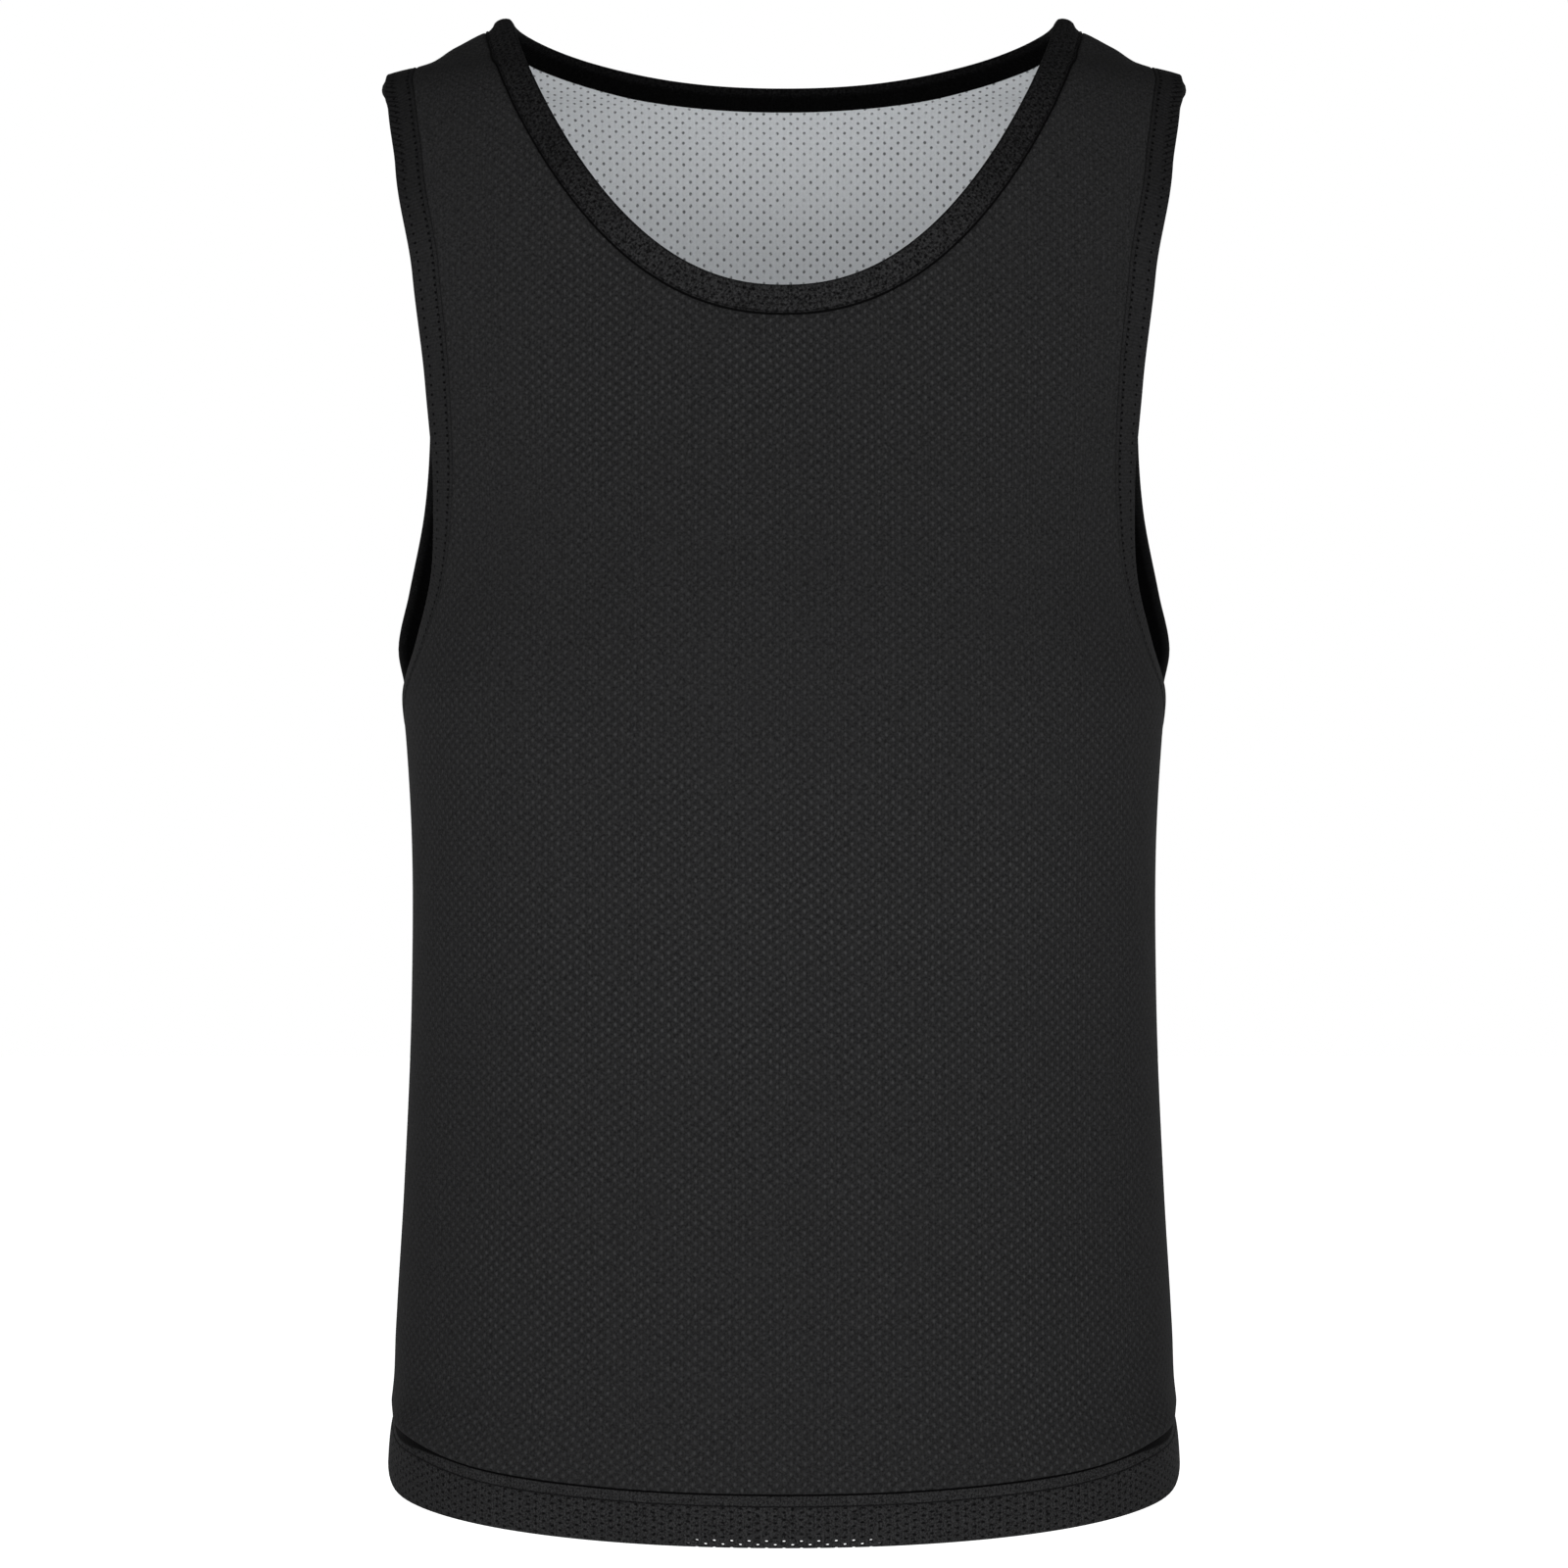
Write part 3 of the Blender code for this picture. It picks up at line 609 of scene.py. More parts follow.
@dataclass
class PanelNet:
    """The net of a body panel: rows from hem to shoulder, columns from side to centre.

    The side columns end on the side seam and then the armhole, the centre ones on the middle
    and then the neck, and the top row is the shoulder seam. Rows and columns crowd at the edges,
    so that an edge can be rounded.
    """

    form: GarmentForm
    face: Face
    neck: NeckEdge
    arm: ArmEdge
    pouch: Pouch
    sewn_in: float = 0.0002
    past_seam: float = 0.25
    cell_share: float = 0.85
    side_rows: int = 12
    arm_rows: int = 17
    neck_rows: int = 11
    columns: int = 11
    hem_crowding: float = 1.15
    shoulder_stretch: float = 2.3
    settling: tuple[int, ...] = (60, 16, 10)
    edge_steps: tuple[float, ...] = (0.0, 0.00035, 0.0009, 0.0018, 0.0032)
    angle: Array = field(init=False)
    z: Array = field(init=False)
    centre_rows: int = field(init=False)

    def __post_init__(self) -> None:
        """Works the net out, from coarse to fine."""
        net = None
        for level, turns in enumerate(self.settling):
            ruled, borders = self.ruled(2**level)
            net = ruled if net is None else self.doubled(net)
            net[0], net[-1], net[:, 0], net[:, -1] = borders
            net = self.settle(net, turns)
        self.centre_rows = (self.side_rows + self.arm_rows - self.neck_rows) * 2**level
        rows = np.stack([self.crowd(row) for row in net])
        rows = self.with_rows(rows, self.centre_rows)
        self.centre_rows += len(self.edge_steps) - 1
        rows = self.with_rows(rows, len(rows) - 1)
        angle, z = self.unflat(rows)
        self.angle = np.stack([angle, (math.pi - angle)[:, ::-1]])
        self.z = np.stack([z, z[:, ::-1]])

    def flat(self, angle: Array, z: Array) -> Array:
        """Net coordinates, in which the sloping shoulder is as long as it really is."""
        above = np.maximum(z - self.arm.top, 0) * (self.shoulder_stretch - 1)
        return np.stack([angle * self.form.fold_radius, z + above], axis=-1)

    def unflat(self, net: Array) -> tuple[Array, Array]:
        """Angles and heights of net coordinates."""
        above = np.maximum(net[..., 1] - self.arm.top, 0) * (1 - 1 / self.shoulder_stretch)
        return net[..., 0] / self.form.fold_radius, net[..., 1] - above

    def seam_angle(self, z: Array) -> Array:
        """The angle of the side and shoulder seams, a hair past the middle so that no light shows."""
        deep, full = (self.form.read(self.face, column, z) for column in ("deep", "full"))
        return -self.past_seam * self.sewn_in / (deep * (1 + full))

    def ruled(self, times: int) -> tuple[Array, tuple[Array, ...]]:
        """A net ruled between the panel's four edges.

        Args:
            times: How many times the first net's rows and columns.

        Returns:
            The net, and its hem, top, side and centre edges.
        """
        face, foot = self.face, self.pouch.steps[0].rise
        arm_shares = self.arm.even_shares(face, self.arm_rows * times)
        neck_shares = self.neck.even_shares(face, self.neck_rows * times)
        arm_angle, arm_z = self.arm.beside(face, arm_shares, self.arm.width - self.sewn_in)
        neck_angle, neck_z = self.neck.beside(face, neck_shares, self.neck.width - self.sewn_in)
        start = self.pouch.fold.at(face, np.array(0.0)) + foot
        side_rows = self.side_rows * times
        side_z = np.concatenate([np.linspace(start, arm_z[0], side_rows + 1), arm_z[1:]])
        side_angle = np.concatenate([np.zeros(side_rows + 1), arm_angle[1:]])
        side_angle = np.maximum(side_angle, self.seam_angle(side_z))
        share = np.linspace(0, 1, self.columns * times + 1)
        hem_angle = side_angle[0] + (math.pi / 2 - side_angle[0]) * share**self.hem_crowding
        hem_z = self.pouch.fold.at(face, hem_angle) + foot
        centre_rows = len(side_z) - len(neck_z)
        centre_z = np.linspace(hem_z[-1], neck_z[-1], centre_rows + 1)
        centre_z = np.concatenate([centre_z, neck_z[-2::-1]])
        centre_angle = np.concatenate([np.full(centre_rows + 1, math.pi / 2), neck_angle[-2::-1]])
        centre_angle = np.maximum(centre_angle, self.seam_angle(centre_z))
        top_z = np.linspace(side_z[-1], centre_z[-1], len(share))
        side, centre = self.flat(side_angle, side_z), self.flat(centre_angle, centre_z)
        hem, top = self.flat(hem_angle, hem_z), self.flat(self.seam_angle(top_z), top_z)
        u = share[None, :, None]
        v = np.linspace(0, 1, len(side))[:, None, None]
        net = (1 - u) * side[:, None] + u * centre[:, None] + (1 - v) * hem[None] + v * top[None]
        corners = (1 - u) * (1 - v) * hem[0] + u * (1 - v) * hem[-1]
        return net - corners - (1 - u) * v * top[0] - u * v * top[-1], (hem, top, side, centre)

    @staticmethod
    def doubled(net: Array) -> Array:
        """A net with a row and a column added between every two."""
        for axis in (0, 1):
            count = net.shape[axis]
            middle = 0.5 * (net.take(range(count - 1), axis) + net.take(range(1, count), axis))
            net = np.insert(net, range(1, count), middle, axis)
        return net

    @staticmethod
    def settle(net: Array, turns: int) -> Array:
        """Evens a net out between its fixed edges, so that no cell folds over."""
        for _ in range(turns):
            east, west = net[1:-1, 2:], net[1:-1, :-2]
            north, south = net[2:, 1:-1], net[:-2, 1:-1]
            run, rise = 0.5 * (east - west), 0.5 * (north - south)
            alpha = (rise**2).sum(-1, keepdims=True)
            beta = (run * rise).sum(-1, keepdims=True)
            gamma = (run**2).sum(-1, keepdims=True)
            cross = 0.25 * (net[2:, 2:] - net[2:, :-2] - net[:-2, 2:] + net[:-2, :-2])
            pull = alpha * (east + west) + gamma * (north + south) - 2 * beta * cross
            net[1:-1, 1:-1] = pull / (2 * (alpha + gamma))
        return net

    def crowd(self, row: Array) -> Array:
        """A row of the net, evenly spaced but for points that crowd at its edges."""
        points = self.form.surface(self.face, *self.unflat(row))
        length = path_lengths(points)
        near = np.array(self.edge_steps)
        far = length[-1] - near[::-1]
        even = np.linspace(near[-1], far[0], len(row))[1:-1]
        wanted = np.concatenate([near, even, far])
        return np.stack([np.interp(wanted, length, row[:, axis]) for axis in (0, 1)], axis=-1)

    def with_rows(self, net: Array, row: int) -> Array:
        """The net with rows added just below one of its rows, crowding towards it."""
        below, above = net[row - 1], net[row]
        points = [self.form.surface(self.face, *self.unflat(line)) for line in (below, above)]
        middle = np.linalg.norm(points[1] - points[0], axis=-1)[:, None]
        added = [above + (below - above) * np.minimum(step / middle, self.cell_share)
                 for step in self.edge_steps[:0:-1]]
        return np.concatenate([net[:row], np.stack(added), net[row:]])

    @property
    def foot(self) -> Array:
        """Angles of the first row, right side to left side."""
        return np.concatenate([self.angle[0, 0], self.angle[1, 0, 1:]])

    def cells(self, rows_below: int) -> Array:
        """Cells of both halves, joined up the middle as far as the neck.

        Args:
            rows_below: Whole rows under the first one, which are numbered first.

        Returns:
            Vertex numbers of each cell.
        """
        columns = self.z.shape[2]
        wide = 2 * columns - 1
        below = np.arange(rows_below * wide).reshape(rows_below, wide)
        number = rows_below * wide + np.arange(self.z.size).reshape(self.z.shape)
        right, left = number[0], number[1].copy()
        left[: self.centre_rows + 1, 0] = right[: self.centre_rows + 1, -1]
        right = np.concatenate([below[:, :columns], right])
        left = np.concatenate([below[:, columns - 1:], left])
        return np.concatenate([grid_cells(right), grid_cells(left)])

    def from_edge(self) -> Array:
        """Distance of each net point from the nearest sewn or bound edge of the panel."""
        points = self.form.surface(self.face, self.angle, self.z)
        neck = points[:, self.centre_rows:]
        edges = [points[0, :, 0], points[1, :, -1], neck[0, :, -1], neck[1, :, 0]]
        edges += [points[0, -1], points[1, -1]]
        rim = np.concatenate([self.denser(edge) for edge in edges])
        found = [np.linalg.norm(rim - point, axis=1).min() for point in points.reshape(-1, 3)]
        return np.array(found).reshape(self.z.shape)

    @staticmethod
    def denser(line: Array, times: int = 8) -> Array:
        """A line with more points along each of its stretches."""
        share = np.linspace(0, 1, times, endpoint=False)[None, :, None]
        filled = line[:-1, None] * (1 - share) + line[1:, None] * share
        return np.concatenate([filled.reshape(-1, 3), line[-1:]])


@dataclass(frozen=True)
class Wall:
    """A closed wall between two sheets of the same cells."""

    outer: Array
    inner: Array
    uvs: Array
    cells: Array
    clearness: Array | None = None

    def build(self, name: str, material: Material) -> Object:
        """Makes the wall's object.

        Args:
            name: The object's name.
            material: Its finish.

        Returns:
            The new object.
        """
        kept, numbers = np.unique(self.cells, return_inverse=True)
        cells = numbers.reshape(-1, 4)
        points = np.concatenate([self.outer[kept], self.inner[kept]])
        back = len(kept)
        rim = np.array([(b, a, back + a, back + b) for a, b in open_edges(cells)])
        faces = np.concatenate([cells, back + cells[:, ::-1], rim])
        uvs = np.concatenate([self.uvs[kept], self.uvs[kept]])
        piece = make_mesh(name, points, faces, uvs[faces.ravel()], material)
        if self.clearness is not None:
            values = np.tile(self.clearness[kept], 2).astype(np.float32)
            layer = piece.data.attributes.new(CLEARNESS, "FLOAT", "POINT")
            layer.data.foreach_set("value", values)
        return piece


# --------------------------------------------------------------------------- shader writing


def add_node(
    tree: bpy.types.NodeTree, kind: str, settings: dict | None = None, inputs: dict | None = None
) -> bpy.types.Node:
    """Adds a node, its settings first, because some of them change its sockets.

    Args:
        tree: Where it goes.
        kind: The node's type.
        settings: Its own properties.
        inputs: Numbers, wires, sockets, or nodes by their first output, by its sockets' names
            or numbers.

    Returns:
        The node.
    """
    node = tree.nodes.new(kind)
    for name, value in (settings or {}).items():
        setattr(node, name, value)
    for name, value in (inputs or {}).items():
        if isinstance(value, bpy.types.Node):
            value = value.outputs[0]
        source = getattr(value, "socket", value)
        if isinstance(source, bpy.types.NodeSocket):
            tree.links.new(source, node.inputs[name])
        else:
            node.inputs[name].default_value = source
    return node


def operator(kind: str, swapped: bool = False) -> Callable[..., "Wire"]:
    """Makes a method of a wire that adds one Math node, with its values swapped if reflected."""

    def method(*values: "Wire | float") -> "Wire":
        """Adds the node beside the first wire's own."""
        node = dict(enumerate(values[::-1] if swapped else values))
        return values[0].onward("ShaderNodeMath", {"operation": kind}, node)

    return method


class Wire:
    """A value between two shader nodes; an expression on it adds the Math nodes it needs."""

    def __init__(self, tree: bpy.types.NodeTree, socket: bpy.types.NodeSocket) -> None:
        """Holds a socket of a tree."""
        self.tree = tree
        self.socket = socket

    def onward(self, kind: str, settings: dict, inputs: dict) -> "Wire":
        """The first output of a new node in the same tree."""
        return Wire(self.tree, add_node(self.tree, kind, settings, inputs).outputs[0])

    __add__ = __radd__ = operator("ADD")
    __sub__, __rsub__ = operator("SUBTRACT"), operator("SUBTRACT", swapped=True)
    __mul__ = __rmul__ = operator("MULTIPLY")
    __truediv__ = operator("DIVIDE")
    fraction, whole = operator("FRACT"), operator("FLOOR")
    size, root = operator("ABSOLUTE"), operator("SQRT")
    power_of_e = operator("EXPONENT")
    sine = operator("SINE")
    least, most = operator("MINIMUM"), operator("MAXIMUM")

    def wave(self) -> "Wire":
        """A wave from -1 to 1 that repeats at every whole number."""
        return (self * math.tau).sine()

    def smooth(self, low: float, high: float) -> "Wire":
        """0 at low, 1 at high, and a smooth step between."""
        inputs = {"Value": self, "From Min": low, "From Max": high}
        return self.onward("ShaderNodeMapRange", {"interpolation_type": "SMOOTHSTEP"}, inputs)


class Shading:
    """The nodes of a material or a world."""

    def __init__(self, owner: Material | bpy.types.World) -> None:
        """Starts with no nodes."""
        owner.use_nodes = True
        self.tree = owner.node_tree
        self.tree.nodes.clear()

    def add(
        self, kind: str, settings: dict | None = None, inputs: dict | None = None, out: int | str = 0
    ) -> Wire:
        """Adds a node, and gives the wire that leaves it by one of its sockets."""
        return Wire(self.tree, add_node(self.tree, kind, settings, inputs).outputs[out])

    def place(self, kind: str = "Object") -> Wire:
        """Where a point is, in the object's own space unless another is named."""
        return self.add("ShaderNodeTexCoord", out=kind)

    def height(self, kind: str = "Object") -> Wire:
        """How high a point is."""
        return self.add("ShaderNodeSeparateXYZ", inputs={0: self.place(kind)}, out="Z")

    def noise(self, scale: float, detail: float = 2.0, rough: float = 0.5) -> Wire:
        """Noise around 0.5 in the object's own space, scale in repeats to a metre."""
        inputs = {"Vector": self.place(), "Scale": scale, "Detail": detail, "Roughness": rough}
        return self.add("ShaderNodeTexNoise", inputs=inputs)


class Finish(Shading):
    """A material under construction: one Principled shader and the nodes that feed it."""

    specular: float = 0.02

    def __init__(self, name: str) -> None:
        """Starts an empty material."""
        self.material = bpy.data.materials.new(name)
        super().__init__(self.material)

    def cloth_place(self) -> tuple[Wire, Wire]:
        """Lengths along and across the cloth, in metres."""
        uv = self.add("ShaderNodeUVMap", {"uv_map": CLOTH_UV})
        along, across = (self.add("ShaderNodeSeparateXYZ", inputs={0: uv}, out=axis) for axis in "XY")
        return along, across

    def per_cell(self, u: Wire, v: Wire) -> Wire:
        """A random number for each whole number pair."""
        cell = self.add("ShaderNodeCombineXYZ", inputs={0: u.whole(), 1: v.whole()})
        return self.add("ShaderNodeTexWhiteNoise", {"noise_dimensions": "2D"}, {"Vector": cell})

    def mix(self, share: Wire, first: Wire, second: tuple[float, float, float]) -> Wire:
        """Mixes a colour with one written as linear red, green and blue."""
        return self.add("ShaderNodeMix", {"data_type": "RGBA"}, {0: share, 6: first, 7: (*second, 1)}, 2)

    def scaled(self, colour: tuple[float, float, float], by: Wire) -> Wire:
        """A colour times a number."""
        return self.add("ShaderNodeVectorMath", {"operation": "SCALE"}, {0: colour, "Scale": by})

    def bump(self, height: Wire) -> Wire:
        """A normal from a height in metres."""
        return self.add("ShaderNodeBump", inputs={"Strength": 1.0, "Distance": 1.0, "Height": height})

    def finished(self, colour: Wire, normal: Wire, **others: "Wire | float") -> Material:
        """Closes the material.

        Args:
            colour: What feeds Base Color.
            normal: What feeds Normal.
            others: What other sockets get, with _ for a space.

        Returns:
            The material.
        """
        inputs = {"Base Color": colour, "Normal": normal, "Specular IOR Level": self.specular}
        inputs |= {name.replace("_", " "): value for name, value in others.items()}
        shader = self.add("ShaderNodeBsdfPrincipled", inputs=inputs)
        add_node(self.tree, "ShaderNodeOutputMaterial", inputs={"Surface": shader})
        return self.material


@dataclass(frozen=True)
class Lattice:
    """A knit's staggered holes: pitches, half sizes and how soft their rims are."""

    across: float
    up: float
    half_width: float
    half_height: float
    softness: float
    loops_to_a_hole: int = 4
    column_share: float = 0.6

    def holes(self, u: Wire, v: Wire) -> Wire:
        """1 inside a hole, 0 on the knit."""
        return 1 - self.apart(u, v).smooth(1 - self.softness, 1 + self.softness)

    def apart(self, u: Wire, v: Wire) -> Wire:
        """Distance from the nearest hole's middle, in hole sizes."""
        near = []
        for shift in (0.0, 0.5):
            x = ((u / self.across + shift).fraction() - 0.5) * (self.across / self.half_width)
            y = ((v / self.up + shift).fraction() - 0.5) * (self.up / self.half_height)
            near.append((x * x + y * y).root())
        return near[0].least(near[1])

    def swell(self, u: Wire, v: Wire) -> Wire:
        """Soft diamonds between the holes: 1 at a hole, -1 midway between."""
        return (u / self.across + 0.25).wave() * (v / self.up + 0.25).wave()

    def loops(self, u: Wire, v: Wire) -> Wire:
        """Columns of small loops, from -1 to 1."""
        columns = (u / (self.across / self.loops_to_a_hole)).wave()
        rows = (v / (self.up / self.loops_to_a_hole)).wave()
        return self.column_share * columns + (1 - self.column_share) * (columns * rows)


@dataclass(frozen=True)
class MeshKnit:
    """Perforated knit with another cloth close behind it, which shows through the holes in a colour
    painted as that cloth in shade.
    """

    name: str
    colour: tuple[float, float, float]
    # Painted shade: the colour of the cloth behind as it shows in the hollow of a hole
    behind: tuple[float, float, float]
    lattice: Lattice
    swell: float = 0.20
    ground: float = 0.06
    grain: float = 3.0
    grain_scale: float = 950.0
    grain_noise: tuple[float, float] = (3.0, 0.8)
    patchiness: float = 24.0
    patch_noise: tuple[float, float] = (4.0, 0.6)
    patch_least: float = 0.3
    patch_more: float = 1.4
    hole_least: float = 0.45
    hole_more: float = 0.9
    depth: float = 0.00026
    swell_depth: float = 0.00012
    loop_depth: float = 0.00004
    roughness: float = 0.86
    specks: float = 0.45
    speck_scale: float = 1500.0
    speck_noise: tuple[float, float] = (2.0, 0.6)
    speck_from: float = 0.60
    speck_to: float = 0.74
    by_patches: bool = True

    def material(self) -> Material:
        """Writes the material."""
        finish = Finish(self.name)
        u, v = finish.cloth_place()
        hole = self.lattice.holes(u, v)
        swell = self.lattice.swell(u, v)
        loops = self.lattice.loops(u, v)
        clear = self.patch_least + self.patch_more * finish.noise(self.patchiness, *self.patch_noise)
        if self.by_patches:
            settings = {"attribute_name": CLEARNESS}
            clear = clear * finish.add("ShaderNodeAttribute", settings, out="Fac")
        cell = finish.per_cell(u / (0.5 * self.lattice.across), v / (0.5 * self.lattice.up))
        # Painted shade: the holes show the cloth behind in its shaded colour, and the clearness patches
        # paint broad light and shade on it
        shown = hole * clear * (self.hole_least + self.hole_more * cell)
        if self.specks:
            speck = finish.noise(self.speck_scale, *self.speck_noise)
            shown = shown.most(self.specks * speck.smooth(self.speck_from, self.speck_to))
        grain = finish.noise(self.grain_scale, *self.grain_noise) - 0.5
        tone = (1 + self.swell * swell * clear + self.ground * loops) * (1 + self.grain * grain)
        colour = finish.mix(shown, finish.scaled(self.colour, tone), self.behind)
        height = loops * self.loop_depth + swell * self.swell_depth - hole * self.depth
        return finish.finished(colour, finish.bump(height), Roughness=self.roughness)


@dataclass(frozen=True)
class BindingKnit:
    """The bands' finer knit, with small holes and, on some, rows of needle holes, all painted dark as
    shaded hollows.
    """

    name: str
    colour: tuple[float, float, float]
    lattice: Lattice
    # Painted shade: the colour of the holes as shaded hollows, also used for the seam line and the other
    # painted shade
    dark: tuple[float, float, float] = (0.0018, 0.0018, 0.0019)
    hole_share: float = 0.85
    grain: float = 4.0
    grain_scale: float = 900.0
    grain_noise: tuple[float, float] = (3.0, 0.8)
    grain_depth: float = 0.00015
    depth: float = 0.00022
    rib_pitch: float = 0.0016
    rib_depth: float = 0.00005
    rib_tone: float = 0.08
    roughness: float = 0.82
    # Painted shade: darker over the folded edge, and darker still on the band's inside
    edge_shade: float = 0.55
    edge_soft: tuple[float, float] = (-0.0004, 0.0016)
    inside_shade: float = 0.14
    inside_soft: tuple[float, float] = (0.0016, 0.0050)
    seam: float = 0.0
    seam_half: float = 0.0006
    seam_soft: tuple[float, float] = (0.5, 1.5)
    seam_share: float = 1.0
    plain_from: float = 0.0
    plain_soft: float = 0.0006
    plain_half: tuple[float, float] = (0.14, 0.19)
    holes_half: tuple[float, float] = (0.225, 0.245)
    clear_half: float = 0.0
    clear_height: float = 0.0048
    clear_soft: tuple[float, float] = (0.012, 0.0010)
    clear_holes: tuple[float, float] = (0.55, 0.80)
    # Painted shade: the band darker higher up, between the heights of upper
    upper_shade: float = 1.0
    upper: tuple[float, float] = (-0.11, -0.05)
    # Painted shade under the pouch: a thin line at the lip and a wedge towards the sides
    lip: float = 0.0
    lip_shadow: float = 0.0012
    lip_soft: float = 0.30
    wedge: float = 0.0032
    wedge_at: float = 0.200
    wedge_half: float = 0.026
    needle_lines: tuple[tuple[float, float], ...] = ()
    needle_radius: float = 0.0006
    needle_soft: tuple[float, float] = (0.6, 1.4)
    # Painted shade in slanted gathers at the shoulder, which also dip the bump
    tip_gather_shade: float = 0.0
    tip_rib_pitch: float = 0.0032
    tip_rib_lean: float = 0.8
    tip_rib_soft: tuple[float, float] = (0.2, 0.9)
    tip_rib_start: tuple[float, float] = (0.0008, 0.0020)
    tip_rib_end: tuple[float, float] = (0.0055, 0.0075)
    tip: tuple[float, float] = (-0.11, -0.03)

    def needle_holes(self, u: Wire, v: Wire, line: float, pitch: float) -> Wire:
        """A row of needle holes, by its distance from the edge and its pitch."""
        x = ((u / pitch).fraction() - 0.5) * (pitch / self.needle_radius)
        y = (v - line) / self.needle_radius
        return 1 - (x * x + y * y).root().smooth(*self.needle_soft)

    def painted_shade_in_tip_gathers(self, finish: Finish, u: Wire, v: Wire) -> Wire:
        """Painted shade in slanted gathers over the outer third of the band, at the shoulder only."""
        ribs = ((u + self.tip_rib_lean * v) / self.tip_rib_pitch).wave().smooth(*self.tip_rib_soft)
        outer = v.smooth(*self.tip_rib_start) * (1 - v.smooth(*self.tip_rib_end))
        return self.tip_gather_shade * ribs * outer * finish.height().smooth(*self.tip)

    def painted_shade_under_lip(self, u: Wire, v: Wire) -> Wire:
        """Shade under the pouch, deepest where it stands off the band towards the sides."""
        beside = (u.size() - self.wedge_at) / self.wedge_half
        reach = self.lip_shadow + self.wedge * (beside * beside * -1.0).power_of_e()
        return ((v - self.lip) / reach + 1).smooth(0.0, self.lip_soft)

    def shade(self, v: Wire) -> Wire:
        """Painted shade by the distance from the folded edge: full tone outside, darker over the edge
        and further inside.
        """
        outside = self.edge_shade + (1 - self.edge_shade) * v.smooth(*self.edge_soft)
        inside = 1 - (1 - self.inside_shade / self.edge_shade) * (0.0 - v).smooth(*self.inside_soft)
        return outside * inside

    def material(self) -> Material:
        """Writes the material."""
        finish = Finish(self.name)
        u, v = finish.cloth_place()
        # Holes and needle holes painted dark as shaded hollows; hole below also gathers the seam line
        # and the painted shade
        hole = self.lattice.holes(u, v.size()) * self.hole_share
        if self.plain_from:
            middle = 1 - u.size().smooth(*self.plain_half)
            hole = hole * (1 - u.size().smooth(*self.holes_half))
            hole = hole * (1 - middle * v.smooth(self.plain_from, self.plain_from + self.plain_soft))
        for row in self.needle_lines:
            hole = hole.most(self.needle_holes(u, v, *row))
        if self.seam:
            line = 1 - ((v - self.seam).size() / self.seam_half).smooth(*self.seam_soft)
            hole = hole.most(self.seam_share * line)
        # Painted shade under the pouch
        if self.lip:
            hole = hole.most(self.painted_shade_under_lip(u, v))
        # Painted shade in the gathers at the shoulder
        if self.tip_gather_shade:
            hole = hole.most(self.painted_shade_in_tip_gathers(finish, u, v))
        ribs = (u / self.rib_pitch).wave()
        grain = finish.noise(self.grain_scale, *self.grain_noise) - 0.5
        # Painted shade over the folded edge and on the band's inside
        tone = (1 + self.grain * grain + self.rib_tone * ribs) * self.shade(v)
        # Painted shade: darker higher up
        if self.upper_shade < 1:
            tone = tone * (1 - (1 - self.upper_shade) * finish.height().smooth(*self.upper))
        colour = finish.mix(hole, finish.scaled(self.colour, tone), self.dark)
        height = ribs * self.rib_depth + grain * self.grain_depth - hole * self.depth
        others = {"Alpha": self.see_through(u, v)} if self.clear_half else {}
        return finish.finished(colour, finish.bump(height), Roughness=self.roughness, **others)

    def see_through(self, u: Wire, v: Wire) -> Wire:
        """0 in the open holes along the middle of the lower edge, 1 elsewhere."""
        along, across = self.clear_soft
        near = 1 - u.size().smooth(self.clear_half - along, self.clear_half)
        low = 1 - v.size().smooth(self.clear_height - across, self.clear_height)
        return 1 - self.lattice.holes(u, v.size()).smooth(*self.clear_holes) * near * low


@dataclass(frozen=True)
class Thread:
    """Polyester sewing thread."""

    name: str
    colour: tuple[float, float, float]
    roughness: float = 0.6
    grain_scale: float = 2500.0
    grain_tone: float = 0.5
    grain_depth: float = 0.00004

    def material(self) -> Material:
        """Writes the material."""
        finish = Finish(self.name)
        grain = finish.noise(self.grain_scale) - 0.5
        colour = finish.scaled(self.colour, 1 + self.grain_tone * grain)
        return finish.finished(colour, finish.bump(grain * self.grain_depth), Roughness=self.roughness)


# --------------------------------------------------------------------------- pieces


def declare(piece: Object, slot: Slot, node: str = "") -> None:
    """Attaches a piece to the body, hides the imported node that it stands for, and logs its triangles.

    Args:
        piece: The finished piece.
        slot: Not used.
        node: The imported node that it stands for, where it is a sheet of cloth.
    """
    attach(piece, BODY)
    if node:
        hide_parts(node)
    piece.data.calc_loop_triangles()
    log.info("%s: %d triangles", piece.name, len(piece.data.loop_triangles))


@dataclass
class BodyPiece:
    """A piece of a half of the body, on that half's net."""

    net: PanelNet
    lengths: ClothLengths
    finish: Material
    name: str

    def sheet(self, out: Array | float) -> Array:
        """The net's points at distances out from the surface."""
        net = self.net
        return net.form.cloth(net.face, net.angle, net.z, out + 0 * net.z).reshape(-1, 3)

    def finish_wall(self, wall: Wall, slot: Slot) -> None:
        declare(wall.build(self.name, self.finish), slot, self.name)


